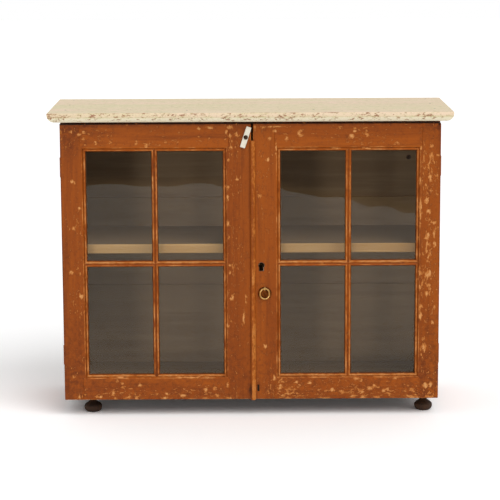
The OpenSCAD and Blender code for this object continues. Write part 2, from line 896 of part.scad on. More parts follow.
// Two panes of one row, k = 0 below and 1 above
module panes_of(d, k) {
    edge = glass_lap - glass_gap;
    color("lightcyan", 0.4) for (i = [0, 1]) translate([pane_x(d, i) - edge, glass_depth, pane_z(k) - edge])
        cube([pane_w(d) + 2 * edge, glass_t, pane_h + 2 * edge]);
}

// Sloping putty behind the glass: full width at the glass, nothing at its rear edge
module putty_hollow(a) {
    y0 = glass_depth + glass_t;
    slope = glass_lap / putty_d;
    polygon([
        [0, y0 - over], [a, y0 - over], [a, y0],
        [a + glass_lap + slope, putty_end + over], [-glass_lap - slope, putty_end + over], [0, y0]
    ]);
}

module putty_of(d) {
    color("ivory") for (i = [0, 1], k = [0, 1]) translate([pane_x(d, i), 0, pane_z(k)]) difference() {
        translate([-glass_lap, glass_depth + glass_t, -glass_lap])
            cube([pane_w(d) + 2 * glass_lap, putty_d, pane_h + 2 * glass_lap]);
        intersection() {
            translate([0, 0, -2 * glass_lap]) linear_extrude(pane_h + 4 * glass_lap) putty_hollow(pane_w(d));
            translate([-2 * glass_lap, 0, pane_h]) rotate([0, 90, 0])
                linear_extrude(pane_w(d) + 4 * glass_lap) putty_hollow(pane_h);
        }
    }
}

// ---------------------------------------------------------------- left door

module left_hinge_stile() {
    color("peru") difference() {
        in_left_door() left_stile_of(left_d);
        mirror([1, 0, 0]) at_hinges() door_leaf_recess();
    }
}

module left_meeting_stile() {
    color("peru") in_left_door() difference() {
        right_stile_of(left_d);
        translate([left_door_w, 0, 0]) {
            strike_cut();
            translate([-button_in, 0, door_h - button_down])
                bar_y(button_screw_r + fixing_gap, -over, button_screw_in + fixing_gap);
            translate([-bolt_in, 0, bolt_plate_z]) bolt_plate_recess();
        }
    }
}

module left_top_rail() { color("peru") in_left_door() top_rail_of(left_d); }
module left_bottom_rail() { color("peru") in_left_door() bottom_rail_of(left_d); }
module left_upright_bar() { color("chocolate") in_left_door() upright_bar_of(left_d); }
module left_cross_bars() { color("chocolate") in_left_door() cross_bars_of(left_d); }
module left_upper_panes() { in_left_door() panes_of(left_d, 1); }
module left_lower_panes() { in_left_door() panes_of(left_d, 0); }
module left_putty() { in_left_door() putty_of(left_d); }

// Strike plate let into the left door's meeting edge, and the mortise behind it
strike_z = bolt_bar_z + bolt_bar_h / 2;
strike_y = bolt_bar_y + bolt_bar_t / 2;

module strike_blank() {
    translate([-strike_t, strike_y - strike_w / 2, strike_z - strike_h / 2])
        cube([strike_t, strike_w / 2 + door_t - strike_y, strike_h]);
}

module strike_hole(x0, x1) {
    translate([x0, bolt_bar_y - loose_gap, bolt_bar_z - loose_gap])
        cube([x1 - x0, bolt_bar_t + 2 * loose_gap, bolt_bar_h + 2 * loose_gap]);
}

module strike_screw_places() {
    for (s = [-1, 1]) translate([0, strike_y, strike_z + s * (strike_h / 2 - 4.5)])
        rotate([0, 90, 0]) children();
}

module strike_cut() {
    strike_screw_places() screw_body(fitting_screw_l, fixing_gap);
    translate([0, strike_y - strike_w / 2 - fixing_gap, strike_z - strike_h / 2 - fixing_gap])
        mirror([1, 0, 0]) translate([-over, 0, 0])
            cube([strike_t + over, door_t, strike_h + 2 * fixing_gap]);
    strike_hole(-strike_mortise, over);
}

module lock_strike() {
    color("goldenrod") in_left_door() translate([left_door_w, 0, 0]) difference() {
        strike_blank();
        strike_hole(-strike_t - over, over);
        strike_screw_places() screw_body(fitting_screw_l, fixing_gap);
    }
}

module left_fitting_screws() {
    color("silver") in_left_door() translate([left_door_w, 0, 0]) {
        strike_screw_places() screw(fitting_screw_l);
        translate([-bolt_in, 0, bolt_plate_z]) bolt_screw_places() screw(fitting_screw_l);
    }
}

// Turn button, drawn about its screw; at rest it leans towards the right door
module at_button() {
    in_left_door() translate([left_door_w - button_in, 0, door_h - button_down]) children();
}

module turn_button() {
    color("ivory") at_button() rotate([0, button_lean, 0]) difference() {
        translate([-button_w / 2, -button_gap - button_t, -button_l / 2])
            cube([button_w, button_t, button_l]);
        bar_y(button_screw_r + running_gap, -button_gap - button_t - over, over);
    }
}

module turn_button_screw() {
    head_y = -button_gap - button_t - knuckle_gap;
    color("dimgray") at_button() {
        bar_y(button_screw_r, head_y, button_screw_in);
        difference() {
            translate([0, head_y, 0]) rotate([90, 0, 0])
                cylinder(r1 = button_head_r, r2 = button_head_r - 1.4, h = button_head_h);
            rotate([0, 30, 0]) translate([-screw_slot_w / 2, head_y - button_head_h - over, -button_head_r])
                cube([screw_slot_w, over + screw_slot_d, 2 * button_head_r]);
        }
    }
}

// Sliding bolt inside the left door: plate with two loops, and the rod that they guide
module bolt_loop_places() {
    for (z = [0, bolt_plate_h - bolt_loop_h]) translate([0, 0, z]) children();
}

module bolt_plate_recess() {
    translate([-bolt_plate_w / 2 - fixing_gap, door_t - bolt_plate_t, -fixing_gap])
        cube([bolt_plate_w + 2 * fixing_gap, bolt_plate_t + over, bolt_plate_h + 2 * fixing_gap]);
    bolt_screw_places() screw_body(fitting_screw_l, fixing_gap);
}

module bolt_screw_places() {
    for (x = [-1, 1], z = [-1, 1])
        translate([x * (bolt_plate_w / 2 - 4), door_t, bolt_plate_h / 2 + z * bolt_plate_h / 6])
            rotate([-90, 0, 0]) children();
}

module at_bolt() {
    in_left_door() translate([left_door_w - bolt_in, 0, 0]) children();
}

module inner_bolt_plate() {
    loop_w = 2 * (bolt_r + bolt_loop_t);
    color("gray") at_bolt() translate([0, 0, bolt_plate_z]) difference() {
        union() {
            translate([-bolt_plate_w / 2, door_t - bolt_plate_t, 0])
                cube([bolt_plate_w, bolt_plate_t, bolt_plate_h]);
            bolt_loop_places() {
                translate([-loop_w / 2, door_t - bolt_plate_t, 0])
                    cube([loop_w, bolt_y - door_t + bolt_plate_t, bolt_loop_h]);
                translate([0, bolt_y, 0]) cylinder(r = loop_w / 2, h = bolt_loop_h);
            }
        }
        translate([0, bolt_y, -over]) cylinder(r = bolt_r + running_gap, h = bolt_plate_h + 2 * over);
        bolt_screw_places() screw_body(fitting_screw_l, fixing_gap);
    }
}

module inner_bolt() {
    knob_z = bolt_plate_z + bolt_plate_h / 2;
    color("silver") at_bolt() {
        translate([0, bolt_y, bolt_low]) cylinder(r = bolt_r, h = bolt_l);
        translate([0, bolt_y, knob_z]) bar_y(bolt_knob_r, 0, bolt_r + bolt_knob_l);
    }
}

// ---------------------------------------------------------------- right door

// Keyhole outline in x-z: a round head over a straight slot
module key_outline(grow = 0) {
    translate([0, key_half_h - key_head_r]) circle(key_head_r + grow);
    translate([-key_slot_w / 2 - grow, -key_half_h - grow])
        square([key_slot_w + 2 * grow, 2 * key_half_h - key_head_r + grow]);
}

module at_key() { translate([key_in, 0, key_z]) children(); }
module at_ring() { translate([ring_in, 0, ring_z]) children(); }

// Old slot in the face of the meeting stile, near its foot: width, depth and height
old_slot = [3, 4, 11];
old_slot_in = 9;
old_slot_z = 18;

module right_meeting_stile() {
    color("peru") in_right_door() difference() {
        left_stile_of(right_d);
        // pocket for the lock, and the keyhole with the seat of its liner
        translate([-over, door_t - lock_depth - fixing_gap, lock_z - lock_h / 2 - fixing_gap])
            cube([lock_w + over + fixing_gap, lock_depth + over + fixing_gap, lock_h + 2 * fixing_gap]);
        at_key() face_prism(-over, door_t) key_outline();
        at_key() face_prism(-over, liner_d) key_outline(liner_t + fixing_gap);
        at_ring() bar_y(eye_shank_r + fixing_gap, -over, eye_shank_in + fixing_gap);
        translate([old_slot_in - old_slot[0] / 2, -over, old_slot_z])
            cube([old_slot[0], old_slot[1] + over, old_slot[2]]);
        lock_screw_places() screw_body(lock_screw_l, fixing_gap);
    }
}

module right_hinge_stile() {
    color("peru") difference() {
        in_right_door() right_stile_of(right_d);
        at_hinges() door_leaf_recess();
    }
}

module right_top_rail() { color("peru") in_right_door() top_rail_of(right_d); }
module right_bottom_rail() { color("peru") in_right_door() bottom_rail_of(right_d); }
module right_upright_bar() { color("chocolate") in_right_door() upright_bar_of(right_d); }
module right_cross_bars() { color("chocolate") in_right_door() cross_bars_of(right_d); }
module right_upper_panes() { in_right_door() panes_of(right_d, 1); }
module right_lower_panes() { in_right_door() panes_of(right_d, 0); }
module right_putty() { in_right_door() putty_of(right_d); }

// Rounded strip on the right door's meeting edge, with a tongue in the gap between the doors
module meeting_strip() {
    bead_r = (pow(strip_w / 2, 2) + pow(strip_h, 2)) / (2 * strip_h);
    length = door_h - strip_down + strip_below;
    color("orange") in_right_door() translate([0, 0, -strip_below]) difference() {
        union() {
            linear_extrude(length) intersection() {
                translate([strip_x + strip_w / 2, -strip_off - strip_h + bead_r]) circle(bead_r);
                translate([strip_x, -strip_off - strip_h - over]) square([strip_w, strip_h + over]);
            }
            translate([-strip_tongue_t, -strip_off - over, 0])
                cube([strip_tongue_t, strip_tongue_d + strip_off + over, length]);
        }
        // passage for the lock's bolt
        translate([-meet_gap, bolt_bar_y - loose_gap, bolt_bar_z + strip_below - loose_gap])
            cube([meet_gap + over, bolt_bar_t + 2 * loose_gap, bolt_bar_h + 2 * loose_gap]);
    }
}

// Lock let into the back of the meeting stile: a thin case with a key pin
module lock_case() {
    y0 = door_t - lock_depth;
    z0 = lock_z - lock_h / 2;
    color("darkgoldenrod") in_right_door() {
        difference() {
            translate([0, y0, z0]) cube([lock_w, lock_depth, lock_h]);
            translate([lock_wall, y0 + lock_wall, z0 + lock_wall])
                cube([lock_w - 2 * lock_wall, lock_depth - 2 * lock_wall, lock_h - 2 * lock_wall]);
            at_key() face_prism(y0 - over, y0 + lock_wall + over) key_outline();
            translate([-over, bolt_bar_y - running_gap, bolt_bar_z - running_gap])
                cube([lock_wall + 2 * over, bolt_bar_t + 2 * running_gap, bolt_bar_h + 2 * running_gap]);
            lock_screw_places() screw_body(lock_screw_l, fixing_gap);
        }
        at_key() translate([0, 0, key_half_h - key_head_r])
            bar_y(key_pin_r, y0 + lock_wall, door_t - lock_wall / 2);
    }
}

// Three screws through the corners of the lock's case that its bolt leaves free
module lock_screw_places() {
    in = 5;
    for (p = [[in, -1], [lock_w - in, -1], [lock_w - in, 1]])
        translate([p[0], door_t, lock_z + p[1] * (lock_h / 2 - in)]) rotate([-90, 0, 0]) children();
}

module right_fitting_screws() {
    color("silver") in_right_door() lock_screw_places() screw(lock_screw_l);
}

module lock_bolt() {
    color("silver") in_right_door() translate([bolt_bar_in, bolt_bar_y, bolt_bar_z])
        cube([bolt_bar_l, bolt_bar_t, bolt_bar_h]);
}

module keyhole_liner() {
    color("gold") in_right_door() at_key() face_prism(-liner_proud, liner_d) difference() {
        key_outline(liner_t);
        key_outline();
    }
}

// Ring pull: round plate, eye on a shank, and the hanging ring
module ring_rosette() {
    color("darkgoldenrod") in_right_door() at_ring() difference() {
        translate([0, 0, -rosette_down]) rotate([90, 0, 0]) union() {
            cylinder(r = rosette_r, h = rosette_t / 2);
            translate([0, 0, rosette_t / 2])
                cylinder(r1 = rosette_r, r2 = rosette_r - rosette_t / 2, h = rosette_t / 2);
        }
        bar_y(eye_shank_r + fixing_gap, -2 * rosette_t, over);
    }
}

module ring_eye() {
    color("darkgoldenrod") in_right_door() at_ring() difference() {
        union() {
            bar_y(eye_shank_r, eye_y + eye_bore_r, eye_shank_in);
            bar_y(eye_collar_r, eye_y + eye_bore_r, -rosette_t);
            translate([0, eye_y, 0]) bar_x(eye_r, -eye_t / 2, eye_t / 2);
        }
        translate([0, eye_y, 0]) bar_x(eye_bore_r, -eye_t, eye_t);
    }
}

module ring_pull() {
    color("gold") in_right_door() at_ring() translate([0, eye_y, -ring_mid_r]) rotate([90, 0, 0]) {
        rotate_extrude(angle = 180) translate([ring_mid_r, 0]) circle(ring_wire_r);
        translate([0, -ring_straight, 0]) rotate([0, 0, 180])
            rotate_extrude(angle = 180) translate([ring_mid_r, 0]) circle(ring_wire_r);
        for (s = [-1, 1]) translate([s * ring_mid_r, 0, 0]) rotate([90, 0, 0])
            cylinder(r = ring_wire_r, h = ring_straight);
    }
}

// ---------------------------------------------------------------- nodes

top_board_front();
top_board_rear();
side_left();
side_right();
bottom_board();
front_top_rail();
rear_top_rail();
back_board_lower();
back_board_middle();
back_board_upper();
shelf();
shelf_battens();
front_left_foot();
front_right_foot();
rear_left_foot();
rear_right_foot();
top_nails();
back_nails();
carcass_nails();
case_hinge_leaves();
hinge_pins();
case_hinge_screws();
back_screw();
left_hinge_stile();
left_meeting_stile();
left_top_rail();
left_bottom_rail();
left_upright_bar();
left_cross_bars();
left_upper_panes();
left_lower_panes();
left_putty();
left_door_hinge_leaves();
left_door_hinge_screws();
lock_strike();
turn_button_screw();
inner_bolt_plate();
left_fitting_screws();
turn_button();
inner_bolt();
right_hinge_stile();
right_meeting_stile();
right_top_rail();
right_bottom_rail();
right_upright_bar();
right_cross_bars();
right_upper_panes();
right_lower_panes();
right_putty();
right_door_hinge_leaves();
right_door_hinge_screws();
meeting_strip();
lock_case();
keyhole_liner();
ring_rosette();
ring_eye();
right_fitting_screws();
lock_bolt();
ring_pull();
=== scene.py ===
"""A low glazed cabinet in old red-brown and cream paint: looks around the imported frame."""

import math

import bmesh
import bpy
import numpy as np
from mathutils import Matrix, Vector, noise


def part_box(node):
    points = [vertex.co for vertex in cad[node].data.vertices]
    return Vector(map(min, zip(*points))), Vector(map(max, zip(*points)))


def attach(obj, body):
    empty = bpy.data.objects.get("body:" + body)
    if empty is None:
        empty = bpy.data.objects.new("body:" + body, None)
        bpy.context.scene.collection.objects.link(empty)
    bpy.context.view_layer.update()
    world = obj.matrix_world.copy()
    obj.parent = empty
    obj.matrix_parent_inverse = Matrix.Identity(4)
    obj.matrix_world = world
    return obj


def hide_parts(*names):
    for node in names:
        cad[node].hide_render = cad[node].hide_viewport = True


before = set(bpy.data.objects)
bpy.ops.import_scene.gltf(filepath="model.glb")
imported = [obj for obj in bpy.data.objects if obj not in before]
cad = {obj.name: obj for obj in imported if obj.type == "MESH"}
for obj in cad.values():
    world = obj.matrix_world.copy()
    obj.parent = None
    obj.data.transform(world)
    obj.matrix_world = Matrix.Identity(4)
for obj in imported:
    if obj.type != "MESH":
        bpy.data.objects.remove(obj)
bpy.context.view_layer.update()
MM = 0.001
FULL_TURN = 2 * math.pi


# ---------------------------------------------------------------- node helpers

def add_node(tree, kind, inputs=None, **settings):
    """Adds a node. A socket in inputs is linked, and anything else is set as a value."""
    node = tree.nodes.new(kind)
    for key, value in settings.items():
        setattr(node, key, value)
    for key, value in (inputs or {}).items():
        if isinstance(value, bpy.types.NodeSocket):
            tree.links.new(value, node.inputs[key])
        else:
            node.inputs[key].default_value = value
    return node


def tree_of(*values):
    """The node tree of the first socket among the values."""
    return next(v.id_data for v in values if isinstance(v, bpy.types.NodeSocket))


def math_node(operation, a, b=0.0, clamp=False, c=0.0):
    tree = tree_of(a, b, c)
    return add_node(tree, "ShaderNodeMath", {0: a, 1: b, 2: c}, operation=operation, use_clamp=clamp).outputs[0]


def plus(a, b, clamp=False):
    return math_node("ADD", a, b, clamp)


def minus(a, b, clamp=False):
    return math_node("SUBTRACT", a, b, clamp)


def times(a, b, clamp=False):
    return math_node("MULTIPLY", a, b, clamp)


def scaled(value, by, start):
    """start, plus value multiplied by by."""
    return math_node("MULTIPLY_ADD", value, by, c=start)


def ramp(value, low, high):
    """0 below low, 1 above high, smooth between them."""
    inputs = {"Value": value, "From Min": low, "From Max": high}
    return add_node(tree_of(value), "ShaderNodeMapRange", inputs, interpolation_type="SMOOTHSTEP").outputs[0]


def blend(factor, a, b):
    return add_node(tree_of(factor), "ShaderNodeMix", {0: factor, 6: a, 7: b}, data_type="RGBA").outputs[2]


def tinted(colour, other, most, value, low, high):
    """A colour that goes over to the other, by most of the way at most, where value rises from low to high."""
    return blend(times(ramp(value, low, high), most), colour, other)


def noise_node(vector, scale, detail=2.0, rough=0.5, twist=0.0):
    inputs = {"Vector": vector, "Scale": scale, "Detail": detail, "Roughness": rough, "Distortion": twist}
    return add_node(tree_of(vector), "ShaderNodeTexNoise", inputs).outputs["Fac"]


def vector_node(operation, a, b):
    return add_node(tree_of(a), "ShaderNodeVectorMath", {0: a, 1: b}, operation=operation).outputs[0]


def object_place(tree):
    return tree.nodes.new("ShaderNodeTexCoord").outputs["Object"]


SOCKETS = {"v": "NodeSocketVector", "f": "NodeSocketFloat", "c": "NodeSocketColor", "i": "NodeSocketInt",
           "g": "NodeSocketGeometry", "o": "NodeSocketObject", "m": "NodeSocketMaterial"}


def new_group(name, inputs, outputs, kind="ShaderNodeTree"):
    """A node group, its input sockets by name, and its output node."""
    tree = bpy.data.node_groups.new(name, kind)
    for way, labels in (("INPUT", inputs), ("OUTPUT", outputs)):
        for label, socket in labels.items():
            tree.interface.new_socket(label, in_out=way, socket_type=SOCKETS[socket])
    return tree, tree.nodes.new("NodeGroupInput").outputs, tree.nodes.new("NodeGroupOutput")


def end_group(tree, out, **results):
    for label, socket in results.items():
        tree.links.new(socket, out.inputs[label])
    return tree


def new_material(name):
    """A material, its node tree and its main shader."""
    mat = bpy.data.materials.new(name)
    mat.use_nodes = True
    return mat, mat.node_tree, mat.node_tree.nodes["Principled BSDF"]


def srgb(r, g, b):
    """A colour given as it looks on a screen, 0 to 255, in linear light."""
    def linear(c):
        c /= 255
        return c / 12.92 if c <= 0.04045 else ((c + 0.055) / 1.055) ** 2.4
    return (linear(r), linear(g), linear(b), 1.0)


# ---------------------------------------------------------------- shader groups

def old_paint_group():
    """Brushed paint that has flaked and rubbed through to its ground and to the wood, with soot, and with a painted
    shading colour where the soot mark is highest.
    """
    tree, given, out = new_group(
        "Old paint",
        {"Place": "v", "Along": "v", "Worn": "f", "Flaked": "f", "Soot": "f", "Paint": "c", "Rubbed": "c",
         "Deep": "c", "Ground": "c", "Wood": "c", "Sheltered": "c"},
        {"Color": "c", "Roughness": "f", "Height": "f"})
    place, along = given["Place"], given["Along"]
    clouds = noise_node(along, 15.0, 3.0, 0.55)
    brush = noise_node(along, 420.0, 3.0, 0.6)
    drift = noise_node(along, 90.0, 4.0, 0.6, 0.3)
    drawn = add_node(tree, "ShaderNodeMix", {0: 0.6, 4: place, 5: along}, data_type="VECTOR").outputs[1]
    crumbs = noise_node(drawn, 270.0, 4.0, 0.62, 0.5)
    patches = noise_node(place, 105.0, 3.0, 0.6, 0.6)
    mottle = noise_node(along, 260.0, 4.0, 0.65, 0.4)
    specks = noise_node(place, 620.0, 2.0, 0.5)
    # the paint film itself
    colour = blend(ramp(clouds, 0.36, 0.66), given["Paint"], given["Rubbed"])
    colour = tinted(colour, given["Deep"], 0.5, drift, 0.46, 0.76)
    colour = tinted(colour, given["Rubbed"], 0.7, mottle, 0.46, 0.72)
    colour = tinted(colour, given["Deep"], 0.35, patches, 0.54, 0.76)
    soot = times(given["Soot"], ramp(patches, 0.25, 0.70), True)
    colour = blend(soot, colour, given["Deep"])
    # rubbed thin along edges
    rubbed = plus(given["Worn"], times(minus(crumbs, 0.5), 2.2))
    colour = tinted(colour, given["Ground"], 0.85, rubbed, 0.35, 0.85)
    colour = tinted(colour, given["Wood"], 0.7, rubbed, 0.82, 1.2)
    dots = plus(specks, times(given["Flaked"], 0.25))
    colour = tinted(colour, given["Ground"], 0.6, dots, 0.69, 0.74)
    # At the top of the soot mark's range the colour turns to the painted shading colour: painted shade lines on the
    # red doors, painted light under the cream lip.
    colour = blend(ramp(given["Soot"], 0.85, 1.0), colour, given["Sheltered"])
    # flaked off, with a dark rim round each flake
    hole = plus(times(given["Flaked"], 0.62), times(crumbs, 1.1))
    hole = plus(hole, times(patches, 0.4))
    gone, bare = ramp(hole, 0.94, 1.01), ramp(hole, 1.03, 1.2)
    rim = times(times(ramp(hole, 0.88, 0.94), 0.45), minus(1.0, gone))
    colour = blend(rim, colour, given["Deep"])
    colour = blend(times(gone, 0.9), colour, blend(bare, given["Ground"], given["Wood"]))
    rough = plus(scaled(brush, 0.18, 0.42), times(gone, 0.22), True)
    high = plus(scaled(brush, 0.16, 0.6), times(drift, 0.25))
    high = minus(high, times(gone, 0.35))
    return end_group(tree, out, Color=colour, Roughness=rough, Height=high)


def bare_wood_group():
    """Unpainted old boards: long grain, pores, dust and grey marks."""
    tree, given, out = new_group(
        "Bare old wood", {"Place": "v", "Along": "v", "Worn": "f", "Light": "c", "Dark": "c", "Dust": "c"},
        {"Color": "c", "Roughness": "f", "Height": "f"})
    rings = noise_node(given["Along"], 60.0, 4.0, 0.55, 0.8)
    streaks = noise_node(given["Along"], 260.0, 3.0, 0.6, 0.3)
    pores = noise_node(given["Along"], 700.0, 2.0, 0.6)
    cloud = noise_node(given["Place"], 7.0, 4.0, 0.6)
    colour = blend(ramp(rings, 0.36, 0.66), given["Light"], given["Dark"])
    colour = tinted(colour, given["Dark"], 0.6, streaks, 0.46, 0.66)
    colour = tinted(colour, given["Dark"], 0.5, pores, 0.52, 0.7)
    colour = tinted(colour, given["Dust"], 0.5, cloud, 0.42, 0.72)
    colour = blend(times(given["Worn"], 0.4, True), colour, given["Light"])
    high = plus(times(rings, 0.5), times(pores, 0.35))
    return end_group(tree, out, Color=colour, Roughness=scaled(pores, 0.2, 0.62), Height=high)


def old_metal_group():
    """Metal with a dull skin, brighter where hands and other parts have rubbed it."""
    tree, given, out = new_group(
        "Old metal", {"Place": "v", "Worn": "f", "Metal": "c", "Skin": "c", "Crust": "c"},
        {"Color": "c", "Roughness": "f", "Metallic": "f", "Height": "f"})
    cloud = noise_node(given["Place"], 160.0, 4.0, 0.6)
    spots = noise_node(given["Place"], 900.0, 3.0, 0.6)
    skin = minus(ramp(cloud, 0.30, 0.62), given["Worn"], True)
    crust = times(ramp(spots, 0.54, 0.66), minus(1.0, given["Worn"]), True)
    colour = blend(skin, given["Metal"], given["Skin"])
    colour = blend(crust, colour, given["Crust"])
    rough = plus(plus(times(skin, 0.25), times(crust, 0.3)), 0.30, True)
    metallic = minus(1.0, times(crust, 0.7))
    high = plus(times(cloud, 0.5), times(spots, 0.5))
    return end_group(tree, out, Color=colour, Roughness=rough, Metallic=metallic, Height=high)


GROUPS = {"paint": old_paint_group(), "wood": bare_wood_group(), "metal": old_metal_group()}
GRAIN = {"x": (0.05, 1.0, 1.0), "z": (1.0, 1.0, 0.05)}
DULL, SATIN, PLAIN = 0.2, 0.3, 0.5


def finish(name, group, colours, along="z", bump=0.0004, shine=PLAIN, shift=(0, 0, 0)):
    """A material from one of the shared groups, with the grain along the axis given."""
    mat, tree, surface = new_material(name)
    where = add_node(tree, "ShaderNodeMapping", {"Vector": object_place(tree), "Location": shift}).outputs[0]
    body = add_node(tree, "ShaderNodeGroup", node_tree=GROUPS[group])
    tree.links.new(where, body.inputs["Place"])
    if "Along" in body.inputs:
        tree.links.new(vector_node("MULTIPLY", where, GRAIN[along]), body.inputs["Along"])
    for label in ("Worn", "Flaked", "Soot"):
        if label in body.inputs:
            mark = add_node(tree, "ShaderNodeAttribute", attribute_name=label.lower())
            tree.links.new(mark.outputs["Fac"], body.inputs[label])
    for label, colour in colours.items():
        body.inputs[label].default_value = colour
    for label, target in (("Color", "Base Color"), ("Roughness", "Roughness"), ("Metallic", "Metallic")):
        if label in body.outputs:
            tree.links.new(body.outputs[label], surface.inputs[target])
    relief = add_node(tree, "ShaderNodeBump", {"Strength": 1.0, "Distance": bump, "Height": body.outputs["Height"]})
    tree.links.new(relief.outputs[0], surface.inputs["Normal"])
    surface.inputs["Specular IOR Level"].default_value = shine
    return mat


def shades(labels, *colours):
    return {label: srgb(*colour) for label, colour in zip(labels.split(), colours)}


COATS, TIMBER, METAL = "Paint Rubbed Deep Ground Wood Sheltered", "Light Dark Dust", "Metal Skin Crust"
# The last colour of each coat list is painted shading: dark painted shade for the red paint, a painted light for
# the cream.
RED = shades(COATS, (142, 66, 4), (161, 79, 7), (102, 44, 7), (190, 115, 50), (214, 152, 92), (40, 18, 5))
RED_LEVEL = dict(RED, **shades("Paint Rubbed", (149, 70, 5), (169, 84, 8)))
RED_STRIP = dict(RED, **shades("Ground Wood", (196, 118, 44), (212, 142, 82)))
CREAM = shades(COATS, (234, 218, 180), (243, 214, 189), (208, 199, 146), (172, 118, 90), (88, 58, 44),
               (255, 246, 216))
BUTTON = shades(COATS, (240, 236, 222), (232, 224, 204), (196, 184, 160), (205, 180, 150), (120, 90, 66),
                (90, 80, 66))
PAINTED_IRON = shades(COATS, (146, 70, 14), (158, 80, 18), (96, 46, 18), (84, 64, 50), (70, 54, 46), (46, 30, 20))
INNER = shades(TIMBER, (128, 105, 79), (116, 93, 68), (123, 102, 79))
SHELF = shades(TIMBER, (188, 148, 94), (166, 126, 77), (178, 146, 100))
BACKS = shades(TIMBER, (146, 112, 78), (104, 76, 52), (126, 108, 88))
TURNED = shades(TIMBER, (72, 45, 24), (37, 22, 13), (50, 36, 25))
DARK_WOOD_AND_SHADE = shades(TIMBER, (70, 50, 36), (50, 36, 26), (62, 50, 40))
PUTTY = shades(TIMBER, (150, 136, 116), (112, 98, 82), (128, 118, 104))
BRASS = shades(METAL, (255, 216, 140), (150, 110, 60), (70, 52, 34))
PLATE = shades(METAL, (170, 100, 44), (92, 50, 20), (36, 20, 10))
LOCK = shades(METAL, (120, 96, 62), (58, 46, 32), (36, 28, 22))
PALE_BRASS = shades(METAL, (150, 122, 108), (98, 72, 64), (60, 42, 34))
IRON = shades(METAL, (96, 84, 74), (58, 46, 40), (92, 52, 30))

red_upright = finish("Red paint, upright grain", "paint", RED, "z", shine=DULL)
red_level = finish("Red paint, level grain", "paint", RED_LEVEL, "x", shine=DULL, shift=(0.3, 0.1, 0.7))
red_strip = finish("Red paint, meeting strip", "paint", RED_STRIP, "z", shine=DULL, shift=(0.9, 0.2, 0.4))
red_iron = finish("Red paint over iron", "paint", PAINTED_IRON, "z", 0.0002, DULL)
cream = finish("Cream paint", "paint", CREAM, "x", shine=DULL)
button_paint = finish("White paint of the turn button", "paint", BUTTON, "z")
inner_level = finish("Inside boards", "wood", INNER, "x", 0.0002, DULL)
# Dark old wood that also stands in as painted shade: in the gap under the top board, in cut recesses and under the
# case.
dark_wood_and_shade = finish("Underside of the bottom board", "wood", DARK_WOOD_AND_SHADE, "x", shine=DULL)
inner_upright = finish("Inside of the sides", "wood", INNER, "z", shine=DULL)
shelf_wood = finish("Pale shelf wood", "wood", SHELF, "x", shine=DULL)
back_wood = finish("Old back boards", "wood", BACKS, "x", shine=DULL)
foot_wood = finish("Dark turned wood", "wood", TURNED, "z", 0.0003, SATIN)
putty = finish("Hardened putty", "wood", PUTTY, "z", 0.0005)
brass = finish("Aged brass", "metal", BRASS, bump=0.0001)
plate_metal = finish("Dark plate behind the ring", "metal", PLATE, bump=0.0002)
lock_metal = finish("Tarnished lock metal", "metal", LOCK, bump=0.0001)
liner_brass = finish("Worn keyhole metal", "metal", PALE_BRASS, bump=0.0001)
iron = finish("Old iron", "metal", IRON, bump=0.0002)


def old_glass():
    """Slightly wavy clear glass. The light that falls on what is behind it passes straight through."""
    wave_size, wave_height, lean = 11.0, 0.0004, -0.032
    mat, tree, surface = new_material("Old window glass")
    for key, value in {"Base Color": (0.93, 0.95, 0.94, 1), "Roughness": 0.0, "IOR": 1.45,
                       "Specular IOR Level": 1.0, "Transmission Weight": 1.0}.items():
        surface.inputs[key].default_value = value
    where = object_place(tree)
    waves = noise_node(vector_node("MULTIPLY", where, (1.0, 1.0, 0.5)), wave_size, 1.0, 0.4)
    # the right door's panes lean a little in their putty
    parts = add_node(tree, "ShaderNodeSeparateXYZ", {0: where})
    on_right = math_node("MAXIMUM", parts.outputs["X"], 0.0)
    leaning = times(times(on_right, parts.outputs["Z"]), lean)
    relief = add_node(tree, "ShaderNodeBump", {
        "Strength": 1.0, "Distance": 1.0, "Height": scaled(waves, wave_height, leaning)})
    tree.links.new(relief.outputs[0], surface.inputs["Normal"])
    clear = tree.nodes.new("ShaderNodeBsdfTransparent")
    path = tree.nodes.new("ShaderNodeLightPath").outputs
    unbent = math_node("MAXIMUM", path["Is Shadow Ray"], path["Is Diffuse Ray"])
    both = add_node(tree, "ShaderNodeMixShader", {0: unbent, 1: surface.outputs[0], 2: clear.outputs[0]})
    tree.links.new(both.outputs[0], tree.nodes["Material Output"].inputs["Surface"])
    return mat


glass = old_glass()


# ---------------------------------------------------------------- mesh helpers

def ripple(points, size, seed=0.0):
    """Smooth noise from -1 to 1 at each point, over lengths of about size metres."""
    return np.array([noise.noise(Vector(p) / size + Vector((seed, seed * 1.7, -seed))) for p in points])


def hump(distance, width):
    return np.exp(-(np.asarray(distance) / width) ** 2)


def make_piece(name, solid, materials, marks=None, sharp=32):
    """A mesh object from points in metres and faces. marks gives each attribute from the array of points."""
    points, faces = solid
    mesh = bpy.data.meshes.new(name)
    mesh.from_pydata([tuple(p) for p in points], [], faces)
    work = bmesh.new()
    work.from_mesh(mesh)
    bmesh.ops.remove_doubles(work, verts=work.verts, dist=2e-6)
    bmesh.ops.recalc_face_normals(work, faces=work.faces)
    work.to_mesh(mesh)
    work.free()
    where = np.array([v.co for v in mesh.vertices])
    for label, rule in (marks or {}).items():
        values = np.clip(rule(where), 0, 1).astype(np.float32)
        mesh.attributes.new(label, "FLOAT", "POINT").data.foreach_set("value", values)
    for mat in materials:
        mesh.materials.append(mat)
    mesh.shade_smooth()
    mesh.set_sharp_from_angle(angle=math.radians(sharp))
    piece = bpy.data.objects.new(name, mesh)
    bpy.context.scene.collection.objects.link(piece)
    return piece


def settle(piece):
    """Turns a piece and its modifiers into one plain mesh."""
    graph = bpy.context.evaluated_depsgraph_get()
    mesh = bpy.data.meshes.new_from_object(piece.evaluated_get(graph))
    mesh.name = piece.name
    piece.modifiers.clear()
    piece.data = mesh


def second_material(piece, test):
    """Gives the second material of a piece to the faces that pass the test."""
    for face in piece.data.polygons:
        if test(face):
            face.material_index = 1


